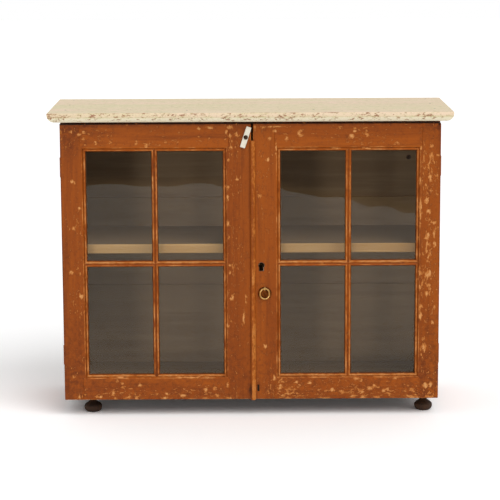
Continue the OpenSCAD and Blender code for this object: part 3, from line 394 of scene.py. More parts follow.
def loft(rings, closed=False):
    """A skin over rings of points, capped at both ends, or closed back to the first ring."""
    n, count = len(rings[0]), len(rings)
    faces = []
    for k in range(count if closed else count - 1):
        m = (k + 1) % count
        faces += [(k * n + i, k * n + (i + 1) % n, m * n + (i + 1) % n, m * n + i) for i in range(n)]
    if not closed:
        faces += [tuple(range(n))[::-1], tuple(range((count - 1) * n, count * n))]
    return [p for ring in rings for p in ring], faces


def circle(r, count):
    turns = [FULL_TURN * k / count for k in range(count)]
    return [(r * math.cos(a), r * math.sin(a)) for a in turns]


def box_solid(lo, hi):
    points = [(x, y, z) for x in (lo[0], hi[0]) for y in (lo[1], hi[1]) for z in (lo[2], hi[2])]
    return points, [(0, 1, 3, 2), (4, 6, 7, 5), (0, 4, 5, 1), (2, 3, 7, 6), (0, 2, 6, 4), (1, 5, 7, 3)]


def carve(piece, boxes, material, *solids):
    """Cuts boxes (lo, hi) and solids (points, faces) out of a piece. The cut faces get the material."""
    tools = [make_piece("cutter", solid, [material]) for solid in [box_solid(*b) for b in boxes] + list(solids)]
    for tool in tools:
        cut = piece.modifiers.new("cut", "BOOLEAN")
        cut.operation, cut.solver, cut.object = "DIFFERENCE", "MANIFOLD", tool
        cut.material_mode = "TRANSFER"
    settle(piece)
    for tool in tools:
        bpy.data.objects.remove(tool)


def place_piece(piece, body, slot, *stands_for):
    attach(piece, body)
    if stands_for:
        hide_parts(*stands_for)


def grown(node, by):
    lo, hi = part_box(node)
    return lo - Vector((by, by, by)), hi + Vector((by, by, by))


def loose_parts(node):
    """The points of each separate solid of a CAD node."""
    work = bmesh.new()
    work.from_mesh(cad[node].data)
    bmesh.ops.remove_doubles(work, verts=work.verts, dist=1e-6)
    seen, parts = set(), []
    for start in work.verts:
        if start.index in seen:
            continue
        seen.add(start.index)
        todo, part = [start], []
        while todo:
            v = todo.pop()
            part.append(v.co.copy())
            for e in v.link_edges:
                other = e.other_vert(v)
                if other.index not in seen:
                    seen.add(other.index)
                    todo.append(other)
        parts.append(np.array(part))
    work.free()
    return parts


def part_boxes(node, by):
    return [(Vector(p.min(0) - by), Vector(p.max(0) + by)) for p in loose_parts(node)]


def spread(lines, step):
    """Sorted lines with more put between those that lie further apart than step."""
    lines = sorted(set(round(v, 4) for v in lines))
    out = [lines[0]]
    for a, b in zip(lines, lines[1:]):
        if b - a < 0.05:
            continue
        n = max(1, math.ceil((b - a) / step))
        out += [a + (b - a) * k / n for k in range(1, n + 1)]
    return np.array(out)


# ---------------------------------------------------------------- doors

# The glazing moulding: distance out from the pane and depth below the face, in mm
MOULDING = [(0, 5.3), (0.5, 4.4), (1.1, 3.2), (1.8, 2.2), (2.4, 1.6), (3.1, 1.4), (3.8, 1.45), (4.4, 1.8),
            (4.9, 2.3), (5.5, 2.6), (6.1, 2.5), (6.7, 1.7), (7.2, 0.8), (7.7, 0.2), (8.5, 0)]
JOINT_OUT, JOINT_HALF, JOINT_DEPTH = 12.0, 0.45, 0.55
DOOR_T = 20.0
GLASS_DEPTH = 8.0
REBATE, PANE_LAP = 4.0, 3.5
EDGE_ROUND = 1.8
GRID_STEP = 2.1
MEMBERS = ("top_rail", "bottom_rail", "upright_bar", "cross_bars")
MEMBER_PAINTS = (red_upright, red_upright, red_level, red_level, red_upright, red_level)


class Door:
    """One door in its own frame: x to the right, z up from its foot, depth back from its face, in mm."""

    def __init__(self, side, first, last):
        """side names the door, and first and last are its stiles from left to right."""
        self.body, self.hinges_left = side + "_door", first == "hinge_stile"
        self.names = [f"{side}_{part}" for part in (first, last) + MEMBERS]
        (lo, _), (_, hi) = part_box(self.names[0]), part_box(self.names[1])
        self.x, self.y, self.z = lo.x / MM, lo.y / MM, lo.z / MM
        self.w, self.h = (hi.x - lo.x) / MM, (hi.z - lo.z) / MM
        low, high, bar = (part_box(f"{side}_{part}") for part in ("lower_panes", "upper_panes", "upright_bar"))
        self.cols = [(low[0].x / MM - self.x + PANE_LAP, bar[0].x / MM - self.x),
                     (bar[1].x / MM - self.x, low[1].x / MM - self.x - PANE_LAP)]
        self.rows = [(a.z / MM - self.z + PANE_LAP, b.z / MM - self.z - PANE_LAP) for a, b in (low, high)]
        self.joints = (self.cols[0][0] - JOINT_OUT, self.cols[1][1] + JOINT_OUT)

    def out_of(self, v, spans):
        """How far v lies outside the nearest span."""
        return np.min([np.maximum(np.maximum(a - v, v - b), 0) for a, b in spans], axis=0)

    def lines(self, spans, size, joints=()):
        lines = [v for near in (0, 0.3, 0.9, EDGE_ROUND) for v in (near, size - near)]
        for a, b in spans:
            lines += [v for t in [t for t, _ in MOULDING] + [REBATE] for v in (a - t, b + t)]
        for v in joints:
            lines += [v - JOINT_HALF, v, v + JOINT_HALF]
        return spread([v for v in lines if 0 <= v <= size], GRID_STEP)

    def depth_at(self, x, z):
        t_out, depth = [v for v, _ in MOULDING], [v for _, v in MOULDING]
        deep = np.zeros_like(x)
        for a, b in self.cols:
            for c, d in self.rows:
                t = np.maximum(np.maximum(a - x, x - b), np.maximum(c - z, z - d))
                deep = np.maximum(deep, np.interp(t, t_out, depth))
        edge = np.minimum(np.minimum(x, self.w - x), np.minimum(z, self.h - z))
        near = np.clip(EDGE_ROUND - edge, 0, EDGE_ROUND)
        deep = np.maximum(deep, EDGE_ROUND - np.sqrt(EDGE_ROUND ** 2 - near * near))
        on_rail = (z <= self.rows[0][0] - JOINT_OUT) | (z >= self.rows[1][1] + JOINT_OUT)
        for v in self.joints:
            groove = np.clip(1 - np.abs(x - v) / JOINT_HALF, 0, 1) * on_rail
            deep = np.maximum(deep, JOINT_DEPTH * groove)
        return deep

    def member_of(self, x, z):
        """0 left stile, 1 right stile, 2 top rail, 3 bottom rail, 4 upright bar, 5 cross bars."""
        left, right = self.cols[0][0], self.cols[1][1]
        low, high = self.rows[0][0], self.rows[1][1]
        upright = self.out_of(x, self.cols) >= self.out_of(z, self.rows)
        return np.select(
            [x < self.joints[0], x > self.joints[1], z < low - JOINT_OUT, z > high + JOINT_OUT,
             upright & (x < left), upright & (x > right), upright, z < low, z > high],
            [0, 1, 3, 2, 0, 1, 4, 3, 2], 5)

    def build(self, marks, top_right):
        """The six members as solids whose faces come from one carved face."""
        xs, zs = self.lines(self.cols, self.w, self.joints), self.lines(self.rows, self.h)
        gx, gz = np.meshgrid(xs, zs, indexing="ij")
        deep = self.depth_at(gx, gz)
        out = np.maximum(self.out_of(gx, self.cols), self.out_of(gz, self.rows))
        n = len(zs)
        a = np.arange(len(xs) - 1)[:, None] * n + np.arange(n - 1)[None, :]
        b, c, d = a + n, a + n + 1, a + 1
        rise = np.abs(out[:-1, :-1] - out[1:, 1:]) >= np.abs(out[1:, :-1] - out[:-1, 1:])
        first = np.stack([a, b, np.where(rise, c, d)], -1)
        second = np.stack([np.where(rise, a, b), c, d], -1)
        tris = np.concatenate([first.reshape(-1, 3), second.reshape(-1, 3)])
        mx, mz = xs[tris // n].mean(1), zs[tris % n].mean(1)
        gap = np.maximum(self.out_of(mx, self.cols), self.out_of(mz, self.rows))
        px, pz = self.round_corners(gx, gz, top_right)
        size = gx.size
        levels = (deep.ravel(), np.full(size, GLASS_DEPTH), np.full(size, DOOR_T))
        points = np.concatenate([np.column_stack([px.ravel() + self.x, y + self.y, pz.ravel() + self.z])
                                 for y in levels]) * MM
        member = np.where(gap > 0, self.member_of(mx, mz), -1)
        pieces = []
        for k, (name, paint) in enumerate(zip(self.names, MEMBER_PAINTS)):
            tri, shallow = tris[member == k], gap[member == k] < REBATE
            faces = [tri, tri[:, ::-1] + np.where(shallow, size, 2 * size)[:, None]]
            # walls stand on the edges that no other face of the member shares at the same depth
            start, end = tri.ravel(), np.roll(tri, -1, axis=1).ravel()
            mine = np.repeat(shallow, 3)
            keys, back = start * size + end, end * size + start
            order = np.argsort(keys)
            at = np.minimum(np.searchsorted(keys[order], back), len(keys) - 1)
            alone = keys[order][at] != back
            step = ~mine & (alone | mine[order][at])
            for edge, level in ((alone, 0), (step, size)):
                s, e = start[edge] + level, end[edge] + level
                faces.append(np.column_stack([e, s, s + size, e + size]))
            flat, new = np.unique(np.concatenate([f.ravel() for f in faces]), return_inverse=True)
            cuts = np.cumsum([f.size for f in faces])[:-1]
            parts = [part.reshape(f.shape) for part, f in zip(np.split(new, cuts), faces)]
            skin = [tuple(f) for part in parts for f in part.tolist()]
            pieces.append(make_piece(name + "_painted", (points[flat], skin), [paint], marks))
        return pieces

    def round_corners(self, gx, gz, top_right, others=1.5):
        """Draws each square corner of the outline in to a round one."""
        px, pz = gx.copy(), gz.copy()
        for to_right, to_top in ((False, False), (True, False), (False, True), (True, True)):
            r = top_right if to_right and to_top else others
            ox = gx - (self.w - r if to_right else r)
            oz = gz - (self.h - r if to_top else r)
            inside = ((ox > 0) == to_right) & ((oz > 0) == to_top) & (ox != 0) & (oz != 0)
            far, near = np.hypot(ox, oz), np.maximum(np.abs(ox), np.abs(oz))
            shrink = np.where(inside, near / np.maximum(far, 1e-9), 1)
            px = np.where(inside, gx - ox + ox * shrink, px)
            pz = np.where(inside, gz - oz + oz * shrink, pz)
        return px, pz

    def from_pane(self, x, z):
        """Distance out from the nearest pane, and how much of it is straight down from that pane."""
        t, below = np.full(len(x), 99.0), np.zeros(len(x))
        for a, b in self.cols:
            for c, d in self.rows:
                here = np.maximum(np.maximum(a - x, x - b), np.maximum(c - z, z - d))
                below = np.where(here < t, (c - z >= here).astype(float) - 0.5 * (z - d >= here), below)
                t = np.minimum(t, here)
        return t, below

    def local(self, p):
        """Door coordinates in mm of points in metres."""
        return p[:, 0] / MM - self.x, p[:, 1] / MM - self.y, p[:, 2] / MM - self.z

    def from_hinges(self, x):
        return x if self.hinges_left else self.w - x


# Places where the paint has come off: x, z, half width, half height in mm
LEFT_FLAKES = [
    (-358, 582, 3, 4), (-342, 577, 4, 3), (-332, 583, 4, 3), (-332, 569, 3, 4), (-309, 561, 3, 4),
    (-280, 561, 3, 5), (-227, 560, 3, 5), (-208, 553, 4, 5), (-103, 588, 4, 3), (-81, 590, 7, 3),
    (-40, 590, 6, 4), (-41, 573, 3, 5), (-48, 580, 2, 6), (-28, 575, 5, 5), (-38, 550, 3, 5),
    (-27, 486, 4, 3), (-45, 525, 4, 3), (-46, 472, 4, 4), (-46, 449, 3, 6), (-45, 397, 3, 10),
    (-45, 367, 3, 6), (-43, 311, 3, 5), (-43, 296, 3, 4), (-38, 244, 5, 7), (-48, 187, 2, 7),
    (-355, 482, 5, 3), (-344, 429, 4, 4), (-355, 389, 4, 4), (-362, 298, 5, 4), (-342, 249, 4, 4),
    (-358, 240, 3, 3), (-360, 83, 3, 4), (-351, 39, 4, 4), (-307, 40, 3, 4), (-281, 47, 3, 4),
    (-277, 36, 4, 3), (-267, 81, 9, 2), (-262, 68, 4, 4), (-250, 39, 9, 4), (-234, 36, 4, 4),
    (-227, 64, 4, 4), (-174, 37, 5, 4), (-173, 47, 5, 3), (-140, 42, 5, 5), (-121, 35, 9, 2),
    (-93, 36, 8, 4), (-92, 54, 3, 4), (-75, 57, 4, 4), (-70, 42, 5, 5), (-48, 63, 2, 7),
    (-45, 35, 7, 3), (-129, 80, 40, 1.4), (-15, 206, 1.6, 18), (-11, 240, 1, 12)]
RIGHT_FLAKES = [
    (46, 591, 30, 1.5), (48, 583, 4, 3), (38, 568, 3, 4), (71, 567, 4, 5), (98, 578, 7, 9), (34, 525, 4, 4),
    (17, 454, 3, 4), (201, 572, 5, 6), (207, 582, 3, 4), (232, 578, 4, 8), (292, 557, 5, 3), (233, 547, 10, 2),
    (168, 547, 13, 1.5), (361, 551, 5, 5), (361, 528, 4, 8), (340, 546, 2, 5), (374, 533, 4, 3),
    (355, 508, 4, 9), (359, 488, 5, 12), (353, 441, 4, 8), (357, 419, 5, 7), (367, 396, 8, 3), (339, 479, 3, 9),
    (369, 378, 3, 11), (355, 370, 6, 10), (370, 353, 5, 6), (355, 351, 4, 10), (360, 331, 4, 6),
    (355, 318, 5, 4), (357, 291, 8, 9), (358, 269, 5, 4), (354, 252, 3, 9), (342, 226, 3, 8), (342, 204, 3, 10),
    (370, 224, 3, 5), (367, 192, 3, 5), (349, 159, 5, 5), (351, 139, 5, 12), (340, 415, 2.5, 40),
    (341, 265, 2, 8), (340, 295, 2, 12), (29, 144, 4, 5), (47, 78, 4, 8), (59, 60, 4, 7), (74, 34, 5, 3),
    (92, 69, 4, 4), (118, 68, 5, 3), (153, 34, 12, 4), (165, 53, 5, 4), (184, 50, 6, 2), (207, 38, 8, 7),
    (213, 76, 9, 3), (226, 38, 5, 6), (226, 48, 6, 3), (240, 55, 7, 4), (250, 60, 4, 4), (255, 36, 11, 5),
    (269, 51, 5, 4), (277, 53, 3, 4), (292, 76, 6, 2), (324, 37, 22, 5), (327, 52, 7, 4), (353, 60, 5, 6),
    (365, 65, 4, 6), (362, 37, 9, 3), (8.5, 588, 1.5, 10), (51, 552, 0.8, 16)]
# Larger areas, with how much of it each takes: where paint flakes more, and where soot lies, with painted shade in
# the thin bands just under the top board
LEFT_THIN = [(-190, 48, 180, 22, 0.16), (-340, 570, 40, 25, 0.06), (-38, 330, 22, 300, 0.12),
             (-30, 560, 30, 40, 0.08), (-348, 300, 24, 200, 0.10), (-190, 562, 150, 10, 0.10)]
LEFT_SOOT_AND_SHADE = [(-370, 590, 60, 30, 0.7), (-250, 597, 160, 6, 0.5), (-365, 545, 25, 30, 0.35),
             (-10, 595, 30, 12, 0.4), (-360, 130, 40, 90, 0.35)]
LEFT_STAINS = [(-3.5, 54, 3, 16)]
RIGHT_THIN = [(354, 330, 24, 280, 0.20), (230, 50, 170, 24, 0.21), (350, 500, 18, 60, 0.08),
              (60, 60, 50, 60, 0.14), (180, 578, 150, 20, 0.10), (30, 300, 16, 240, 0.06)]
RIGHT_SOOT_AND_SHADE = [(372, 590, 30, 30, 0.7), (300, 597, 120, 5, 0.5), (358, 75, 26, 50, 0.7), (20, 592, 20, 14, 0.5),
              (363, 190, 14, 40, 0.3)]
# The first stain darkens the old slot, as painted shade in its recess.
RIGHT_STAINS_AND_SHADE = [(14, 57.5, 3.6, 9.5), (376, 594, 5, 5)]
# Crown, hollow and outer edge of the moulding, as distances out from the pane
CROWN_OUT, HOLLOW_OUT, ARRIS_OUT = 3.1, 5.6, 7.9
# Heights above the floor: the painted shadow line under the top board, and where the doors stop getting darker
# towards the bottom
TOP_SHADOW_Z, DARKER_BELOW_Z, DARKER_BELOW_FADE = 600.2, 240, 170
MOST_SOOT_AND_SHADE, MOST_FLAKED = 0.82, 0.62


def blot(x, z, cx, cz, rx, rz):
    """1 in the middle of an oval place, and little beyond its edge."""
    return hump(np.hypot((x - cx) / rx, (z - cz) / rz), 1.0)


def door_marks(door, flakes, thin, soot, stains_and_shade):
    """Rules for the worn, flaked and soot attributes of one door's members; the soot attribute also carries painted
    shade.
    """
    def worn(p):
        x, depth, z = door.local(p)
        t, below = door.from_pane(x, z)
        rub = 0.5 + 1.0 * ripple(p, 0.022, 3.0)
        crown = hump(t - CROWN_OUT - 0.5 * below, 1.9 + 0.5 * below) * (0.46 + 0.75 * rub + 0.4 * below)
        arris = hump(t - ARRIS_OUT, 1.2) * (0.34 + 0.7 * rub + 0.2 * below)
        edge = np.minimum(np.minimum(x, door.w - x), np.minimum(z, door.h - z))
        corner = hump(edge - 0.4, 1.1) * (0.25 + 0.75 * rub) - 0.5 * hump(door.from_hinges(x), 3.0)
        return np.maximum(np.maximum(crown, arris), corner) * (depth < 4.5)

    def flaked(p):
        x, depth, z = p[:, 0] / MM, door.local(p)[1], p[:, 2] / MM
        load = 0.03 + 0.12 * ripple(p, 0.05, 1.0) + sum(much * blot(x, z, *place) for *place, much in thin)
        for cx, cz, rx, rz in flakes:
            load = np.maximum(load, MOST_FLAKED * blot(x, z, cx, cz, 0.95 * (rx + 1), 0.95 * (rz + 1)))
        return load * (depth < 8)

    def sooted_and_shaded(p):
        x, z = p[:, 0] / MM, p[:, 2] / MM
        across, depth, up = door.local(p)
        t, _ = door.from_pane(across, up)
        front = depth < 8
        # random soot, and darker towards the bottom of the door
        load = 0.06 + 0.15 * ripple(p, 0.09, 6.0) + 0.45 * np.clip((DARKER_BELOW_Z - z) / DARKER_BELOW_FADE, 0, 1)
        load = load + sum(much * blot(x, z, *place) for *place, much in soot)
        # painted shade round the hollow of the moulding
        load = np.maximum(load + 0.7 * hump(t - HOLLOW_OUT - 0.1, 0.8) * front, 0)
        # painted shade along the edge on the hinge side
        load = load + hump(door.from_hinges(across) - 0.5, 1.7) * (0.6 + 0.6 * ripple(p, 0.04, 14.0))
        # painted shade: a dark line where the top board overhangs the door top, dark lines against the panes and in
        # the hollow of the moulding; then the stains
        shade_lines_and_stains = 1.45 * hump(z - TOP_SHADOW_Z, 5.5) * np.clip((4 - depth) / 2, 0, 1)
        shade_lines_and_stains = np.maximum(shade_lines_and_stains, np.clip((1.4 - t) / 0.8, 0, 1) * front)
        shade_lines_and_stains = np.maximum(shade_lines_and_stains, 0.92 * hump(t - HOLLOW_OUT, 0.5) * front)
        for place in stains_and_shade:
            shade_lines_and_stains = np.maximum(shade_lines_and_stains, 1.1 * blot(x, z, *place))
        return np.maximum(np.minimum(load, MOST_SOOT_AND_SHADE), shade_lines_and_stains)

    return {"worn": worn, "flaked": flaked, "soot": sooted_and_shaded}


KEY_X, KEY_Z = 0.021, 0.308
FIT, BOLT_ROOM = 0.00015, 0.0005


def bolt_way(x0, x1):
    """The box between x0 and x1 that the bar of the lock slides through, with room around it."""
    lo, hi = grown("lock_bolt", BOLT_ROOM)
    return (x0, lo.y, lo.z), (x1, hi.y, hi.z)


def key_outline(grow, count=20):
    """Outline of the keyhole, grown by some millimetres, as (x, z) in metres."""
    head_r, slot, foot = 5.5 + grow, 4 + grow, 8 + grow
    head_z = 8 - 5.5
    first = -math.acos(slot / head_r)
    turns = [first + (math.pi - 2 * first) * k / count for k in range(count + 1)]
    points = [(-slot, -foot), (slot, -foot)]
    points += [(head_r * math.cos(a), head_z + head_r * math.sin(a)) for a in turns]
    return [(KEY_X + x * MM, KEY_Z + z * MM) for x, z in points]


left = Door("left", "hinge_stile", "meeting_stile")
right = Door("right", "meeting_stile", "hinge_stile")
OLD_SLOT = ((0.0118, -0.13, 0.0505), (0.0162, -0.1205, 0.0645))
STILE_CUTS = {
    "left_hinge_stile": part_boxes("left_door_hinge_leaves", FIT),
    "right_hinge_stile": part_boxes("right_door_hinge_leaves", FIT),
    "left_meeting_stile": [grown("lock_strike", FIT), grown("inner_bolt_plate", FIT), bolt_way(-0.005, 0.002)],
    "right_meeting_stile": [grown("lock_case", FIT), OLD_SLOT],
}
key_way = loft([[(x, y, z) for x, z in key_outline(1.25)] for y in (-0.13, -0.112)])
for door, places, top_right in ((left, (LEFT_FLAKES, LEFT_THIN, LEFT_SOOT_AND_SHADE, LEFT_STAINS), 1.5),
                                (right, (RIGHT_FLAKES, RIGHT_THIN, RIGHT_SOOT_AND_SHADE, RIGHT_STAINS_AND_SHADE), 5.0)):
    for name, piece in zip(door.names, door.build(door_marks(door, *places), top_right)):
        if name in STILE_CUTS:
            # the cut recesses get the dark wood as painted shade
            carve(piece, STILE_CUTS[name], dark_wood_and_shade, *([key_way] if name == "right_meeting_stile" else []))
        place_piece(piece, door.body, "red_paint", name)


# ---------------------------------------------------------------- boards

def rounded_box(lo, hi, r, step):
    """Points and faces of a box with rounded edges and rows of points near them."""
    lo, hi = np.array(lo), np.array(hi)
    axes = []
    for a, b in zip(lo, hi):
        insets = (0, 0.4 * r, r, 3 * r) if b - a > 7 * r else (0, 0.4 * r, r)
        axes.append(spread([v for inset in insets for v in (a + inset, b - inset)], step))
    points, faces = [], []
    for k in range(3):
        u, v = (k + 1) % 3, (k + 2) % 3
        for end in (0, -1):
            base, n = len(points), len(axes[v])
            for a in axes[u]:
                for b in axes[v]:
                    p = np.zeros(3)
                    p[k], p[u], p[v] = axes[k][end], a, b
                    points.append(p)
            for i in range(len(axes[u]) - 1):
                for j in range(n - 1):
                    q = (base + i * n + j, base + (i + 1) * n + j, base + (i + 1) * n + j + 1, base + i * n + j + 1)
                    faces.append(q if end else q[::-1])
    points = np.array(points)
    core = np.clip(points, lo + r, hi - r)
    off = points - core
    far = np.linalg.norm(off, axis=1, keepdims=True)
    return core + off * np.where(far > 0, r / np.maximum(far, 1e-9), 0), faces


def board(node, ending, materials, r, step, seed, flake=0.03):
    """A board in the place of a node, with softened and worn edges; r and step are in mm."""
    lo, hi = (np.array(v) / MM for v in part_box(node))
    points, faces = rounded_box(lo, hi, r, step)

    def worn(p):
        near = np.sort(np.minimum(p / MM - lo, hi - p / MM), axis=1)[:, 1]
        return hump(near, 1.6) * (0.55 + 0.45 * ripple(p, 0.03, seed))

    marks = {"worn": worn, "flaked": lambda p: flake + 0.1 * ripple(p, 0.05, seed + 2),
             "soot": lambda p: 0.15 + 0.25 * ripple(p, 0.12, seed + 4)}
    return make_piece(node + ending, (points * MM, faces), materials, marks)


# The sides are cut for the rails, the bottom board and the back boards; all in metres
HOUSING, BACK_REBATE = 0.006, 0.009
BACK_Y, REAR_Y, BELOW, ABOVE = 0.136, 0.1365, 0.02, 0.61
(front_rail, rear_rail, floor_board) = (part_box(n) for n in ("front_top_rail", "rear_top_rail", "bottom_board"))
for side, mirror in (("side_left", -1), ("side_right", 1)):
    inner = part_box(side)[0 if mirror > 0 else 1].x
    piece = board(side, "_painted", [red_upright, inner_upright], 1.2, 8.0, mirror * 3.0, 0.1)
    cuts = []
    for depth, y0, y1, z0, z1 in (
            (BACK_REBATE, BACK_Y, 0.16, BELOW, ABOVE),
            (HOUSING, front_rail[0].y - 0.005, front_rail[1].y, front_rail[0].z, ABOVE),
            (HOUSING, rear_rail[0].y, REAR_Y, rear_rail[0].z, ABOVE),
            (HOUSING, floor_board[0].y - 0.005, REAR_Y, BELOW, floor_board[1].z)):
        a, b = sorted((inner - mirror * 0.004, inner + mirror * depth))
        cuts.append(((a, y0, z0), (b, y1, z1)))
    cuts += [b for b in part_boxes("case_hinge_leaves", FIT) if (b[0].x + b[1].x) * mirror > 0]
    carve(piece, cuts, inner_upright)
    second_material(piece, lambda face: face.normal.x * mirror < -0.9)
    place_piece(piece, "case", "red_paint", side)

for k, name in enumerate(("back_board_lower", "back_board_middle", "back_board_upper")):
    piece = board(name, "_worn", [back_wood, inner_level], 1.5, 25.0, 10.0 + k)
    second_material(piece, lambda face: face.normal.y < -0.9)
    place_piece(piece, "case", "bare_wood", name)

piece = board("bottom_board", "_worn", [inner_level, dark_wood_and_shade], 0.6, 20.0, 41.0)
# the hole that the inner bolt drops into
bolt_lo, bolt_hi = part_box("inner_bolt")
bolt_r, bolt_travel = (bolt_hi.x - bolt_lo.x) / 2, 0.010
bolt_x, bolt_y, hole_top = bolt_lo.x + bolt_r, bolt_lo.y + bolt_r, floor_board[1].z + 0.001
bolt_hole = loft([[(bolt_x + x, bolt_y + y, z) for x, y in circle(bolt_r + BOLT_ROOM, 32)]
                  for z in (hole_top, hole_top - bolt_travel - 0.002)])
carve(piece, [], inner_level, bolt_hole)
front_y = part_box("bottom_board")[0].y
# the underside and the front edge get the dark wood, partly as painted shade under the case
second_material(piece, lambda face: face.normal.z < -0.9 or face.center.y < front_y + 0.0004)
place_piece(piece, "case", "bare_wood", "bottom_board")

piece = board("shelf", "_worn", [inner_level, shelf_wood], 1.2, 20.0, 21.0)
front_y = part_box("shelf")[0].y
second_material(piece, lambda face: face.center.y < front_y + 0.0008)
place_piece(piece, "case", "bare_wood", "shelf")


def top_plank(node, front, seed):
    """One plank of the top: rounded under its outer edges, plain along the seam and the back."""
    lo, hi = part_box(node)
    x0, x1, y0, y1, base = (v / MM for v in (lo.x, hi.x, lo.y, hi.y, lo.z))
    thick, lip_h, curve_r = 19.75, 3.6, 16.0
    lip = thick - lip_h
    turns = [math.pi / 2 * k / 8 for k in range(9)]
    # height above the underside, and how far in from the outer and from the plain edges
    rows = [(0, 22, 8)] + [(lip * (1 - math.cos(a)), curve_r * (1 - math.sin(a)), 0.0) for a in turns]
    rows += [(lip + 1.2, 0.05, 0), (lip + 2.5, 0.05, 0), (thick - 0.5, 0.15, 0.1), (thick - 0.15, 0.4, 0.35),
             (thick, 0.9, 0.8), (thick, 4, 2), (thick, 9, 5), (thick, 16, 10)]
    nx, ny = 260, 40
    rings = []
    for height, outer, plain in rows:
        a, b = x0 + outer, x1 - outer
        c, d = y0 + (outer if front else plain), y1 - plain
        ring = [(a + (b - a) * k / nx, c) for k in range(nx)] + [(b, c + (d - c) * k / ny) for k in range(ny)]
        ring += [(b - (b - a) * k / nx, d) for k in range(nx)] + [(a, d - (d - c) * k / ny) for k in range(ny)]
        rings.append([(x, y, base + height) for x, y in ring])
    points, faces = loft(rings)
    points = np.array(points) * MM

    def from_edge(p):
        d = np.minimum(p[:, 0] / MM - x0, x1 - p[:, 0] / MM)
        return np.minimum(d, p[:, 1] / MM - y0) if front else d

    # small bruises in the lip
    on_lip = hump(points[:, 2] / MM - base - lip - 2.6, 2.4) * (from_edge(points) < 2)
    bruise = np.clip(ripple(points, 0.009, seed) - 0.22, 0, 1) * on_lip * 1.6 * MM
    inward = np.sign(np.array([(x0 + x1) / 2, (y0 + y1) / 2]) * MM - points[:, :2])
    near_x = np.minimum(points[:, 0] - x0 * MM, x1 * MM - points[:, 0]) < 0.002
    near_y = (points[:, 1] - y0 * MM < 0.002) & front
    points[:, :2] += inward * np.column_stack([near_x, near_y]) * bruise[:, None]

    def worn(p):
        high = hump(p[:, 2] / MM - base - thick + 0.4, 1.2) * hump(from_edge(p), 2.5)
        return high * (0.4 + 0.5 * ripple(p, 0.03, seed))

    def flaked(p):
        height = p[:, 2] / MM - base
        zone = np.clip((height - 0.5) / 3, 0, 1) * np.clip((thick + 0.4 - height) / 1.6, 0, 1)
        zone = zone * hump(from_edge(p), 14)
        return 0.175 * zone * (1.0 + 1.2 * ripple(p, 0.035, seed + 1)) - 0.1 * (1 - zone)

    def sooted_and_shaded(p):
        height = p[:, 2] / MM - base
        on_top = np.clip((height - thick + 1) / 0.8, 0, 1) * (0.45 + 0.3 * ripple(p, 0.1, seed + 3))
        # painted light: the downward-facing lower part of the lip is set high, so it takes the light painted
        # shading colour of the cream
        painted_light_under_lip = 0.92 + 0.08 * np.clip((10.5 - height) / 7, 0, 1)
        return np.where((height < 10.5) & (from_edge(p) < 20), painted_light_under_lip, on_top)

    marks = {"worn": worn, "flaked": flaked, "soot": sooted_and_shaded}
    return make_piece(node + "_painted", (points, faces), [cream], marks, 40)


for name, front in (("top_board_front", True), ("top_board_rear", False)):
    place_piece(top_plank(name, front, 31.0 + front), "case", "cream_paint", name)


# ---------------------------------------------------------------- strip, button, keyhole

def meeting_strip():
    """A bead over the gap between the doors, with a tongue in the gap."""
    lo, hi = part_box("meeting_strip")
    x0, x1, back = lo.x / MM, hi.x / MM, hi.y / MM
    face_y, tongue, high = -124.9, (2.2, 5.0), 5.0
    mid, half = (x0 + x1) / 2, (x1 - x0) / 2
    outline = [(mid - half * math.cos(a), face_y - high * 0.98 * math.sin(a) ** 0.8)
               for a in (math.pi * k / 14 for k in range(15))]
    outline += [(tongue[1], face_y), (tongue[1], back), (tongue[0], back), (tongue[0], face_y)]
    zs = spread([lo.z / MM, lo.z / MM + 0.8, hi.z / MM - 0.8, hi.z / MM], 4.0)

    def bumpy(x, y, z):
        if y < face_y:
            end = 0.6 if z in (zs[0], zs[-1]) else 0.0
            bump = noise.noise(Vector((x / 6, y / 6, z / 16)))
            dent = max(0.0, noise.noise(Vector((x / 5 + 9, y / 5, z / 11))) - 0.25) * 1.3
            scale = 1 - 0.03 * (1 + bump) - end / half - dent * 0.12
            x, y = mid + (x - mid) * scale, face_y + (y - face_y) * scale
        return x * MM, y * MM, z * MM

    def most_handled(z):
        return 1 / (1 + np.exp((z - 190) / 12))

    def worn(p):
        x, y, z = p.T / MM
        right_side = np.clip((x - mid + 3.4) / 1.4, 0, 1) * (y < face_y)
        rub = 0.42 + 0.4 * ripple(p, 0.04, 9.0) + 0.3 * hump((z - 550) / 14, 1.0) + 0.35 * most_handled(z)
        return right_side * (rub + hump(np.hypot(x - mid, (z - 283) / 4), 3))

    def flaked(p):
        x, _, z = p.T / MM
        chips = 0.2 * most_handled(z) * hump(x - mid - 2.6, 1.8)
        return 0.02 + chips + 0.4 * hump(np.hypot(x - mid - 2, (z - 283) / 3), 2.0)

    def sooted_and_shaded(p):
        x, _, z = p.T / MM
        # painted shade along the bead's left edge, in the crease against the left door
        edge = hump(x - x0, 1.2) * (0.5 + 0.4 * ripple(p, 0.03, 12.0))
        return 0.2 + 0.3 * ripple(p, 0.06, 8.0) + edge + 0.8 * blot(x, z, x0 + 1, 52, 3, 14)

    piece = make_piece("meeting_strip_painted", loft([[bumpy(x, y, z) for x, y in outline[::-1]] for z in zs]),
                       [red_strip], {"worn": worn, "flaked": flaked, "soot": sooted_and_shaded}, 50)
    # the cut for the bolt gets the dark wood as painted shade
    carve(piece, [bolt_way(0.0015, 0.0057)], dark_wood_and_shade)
    return piece


place_piece(meeting_strip(), "right_door", "red_paint", "meeting_strip")


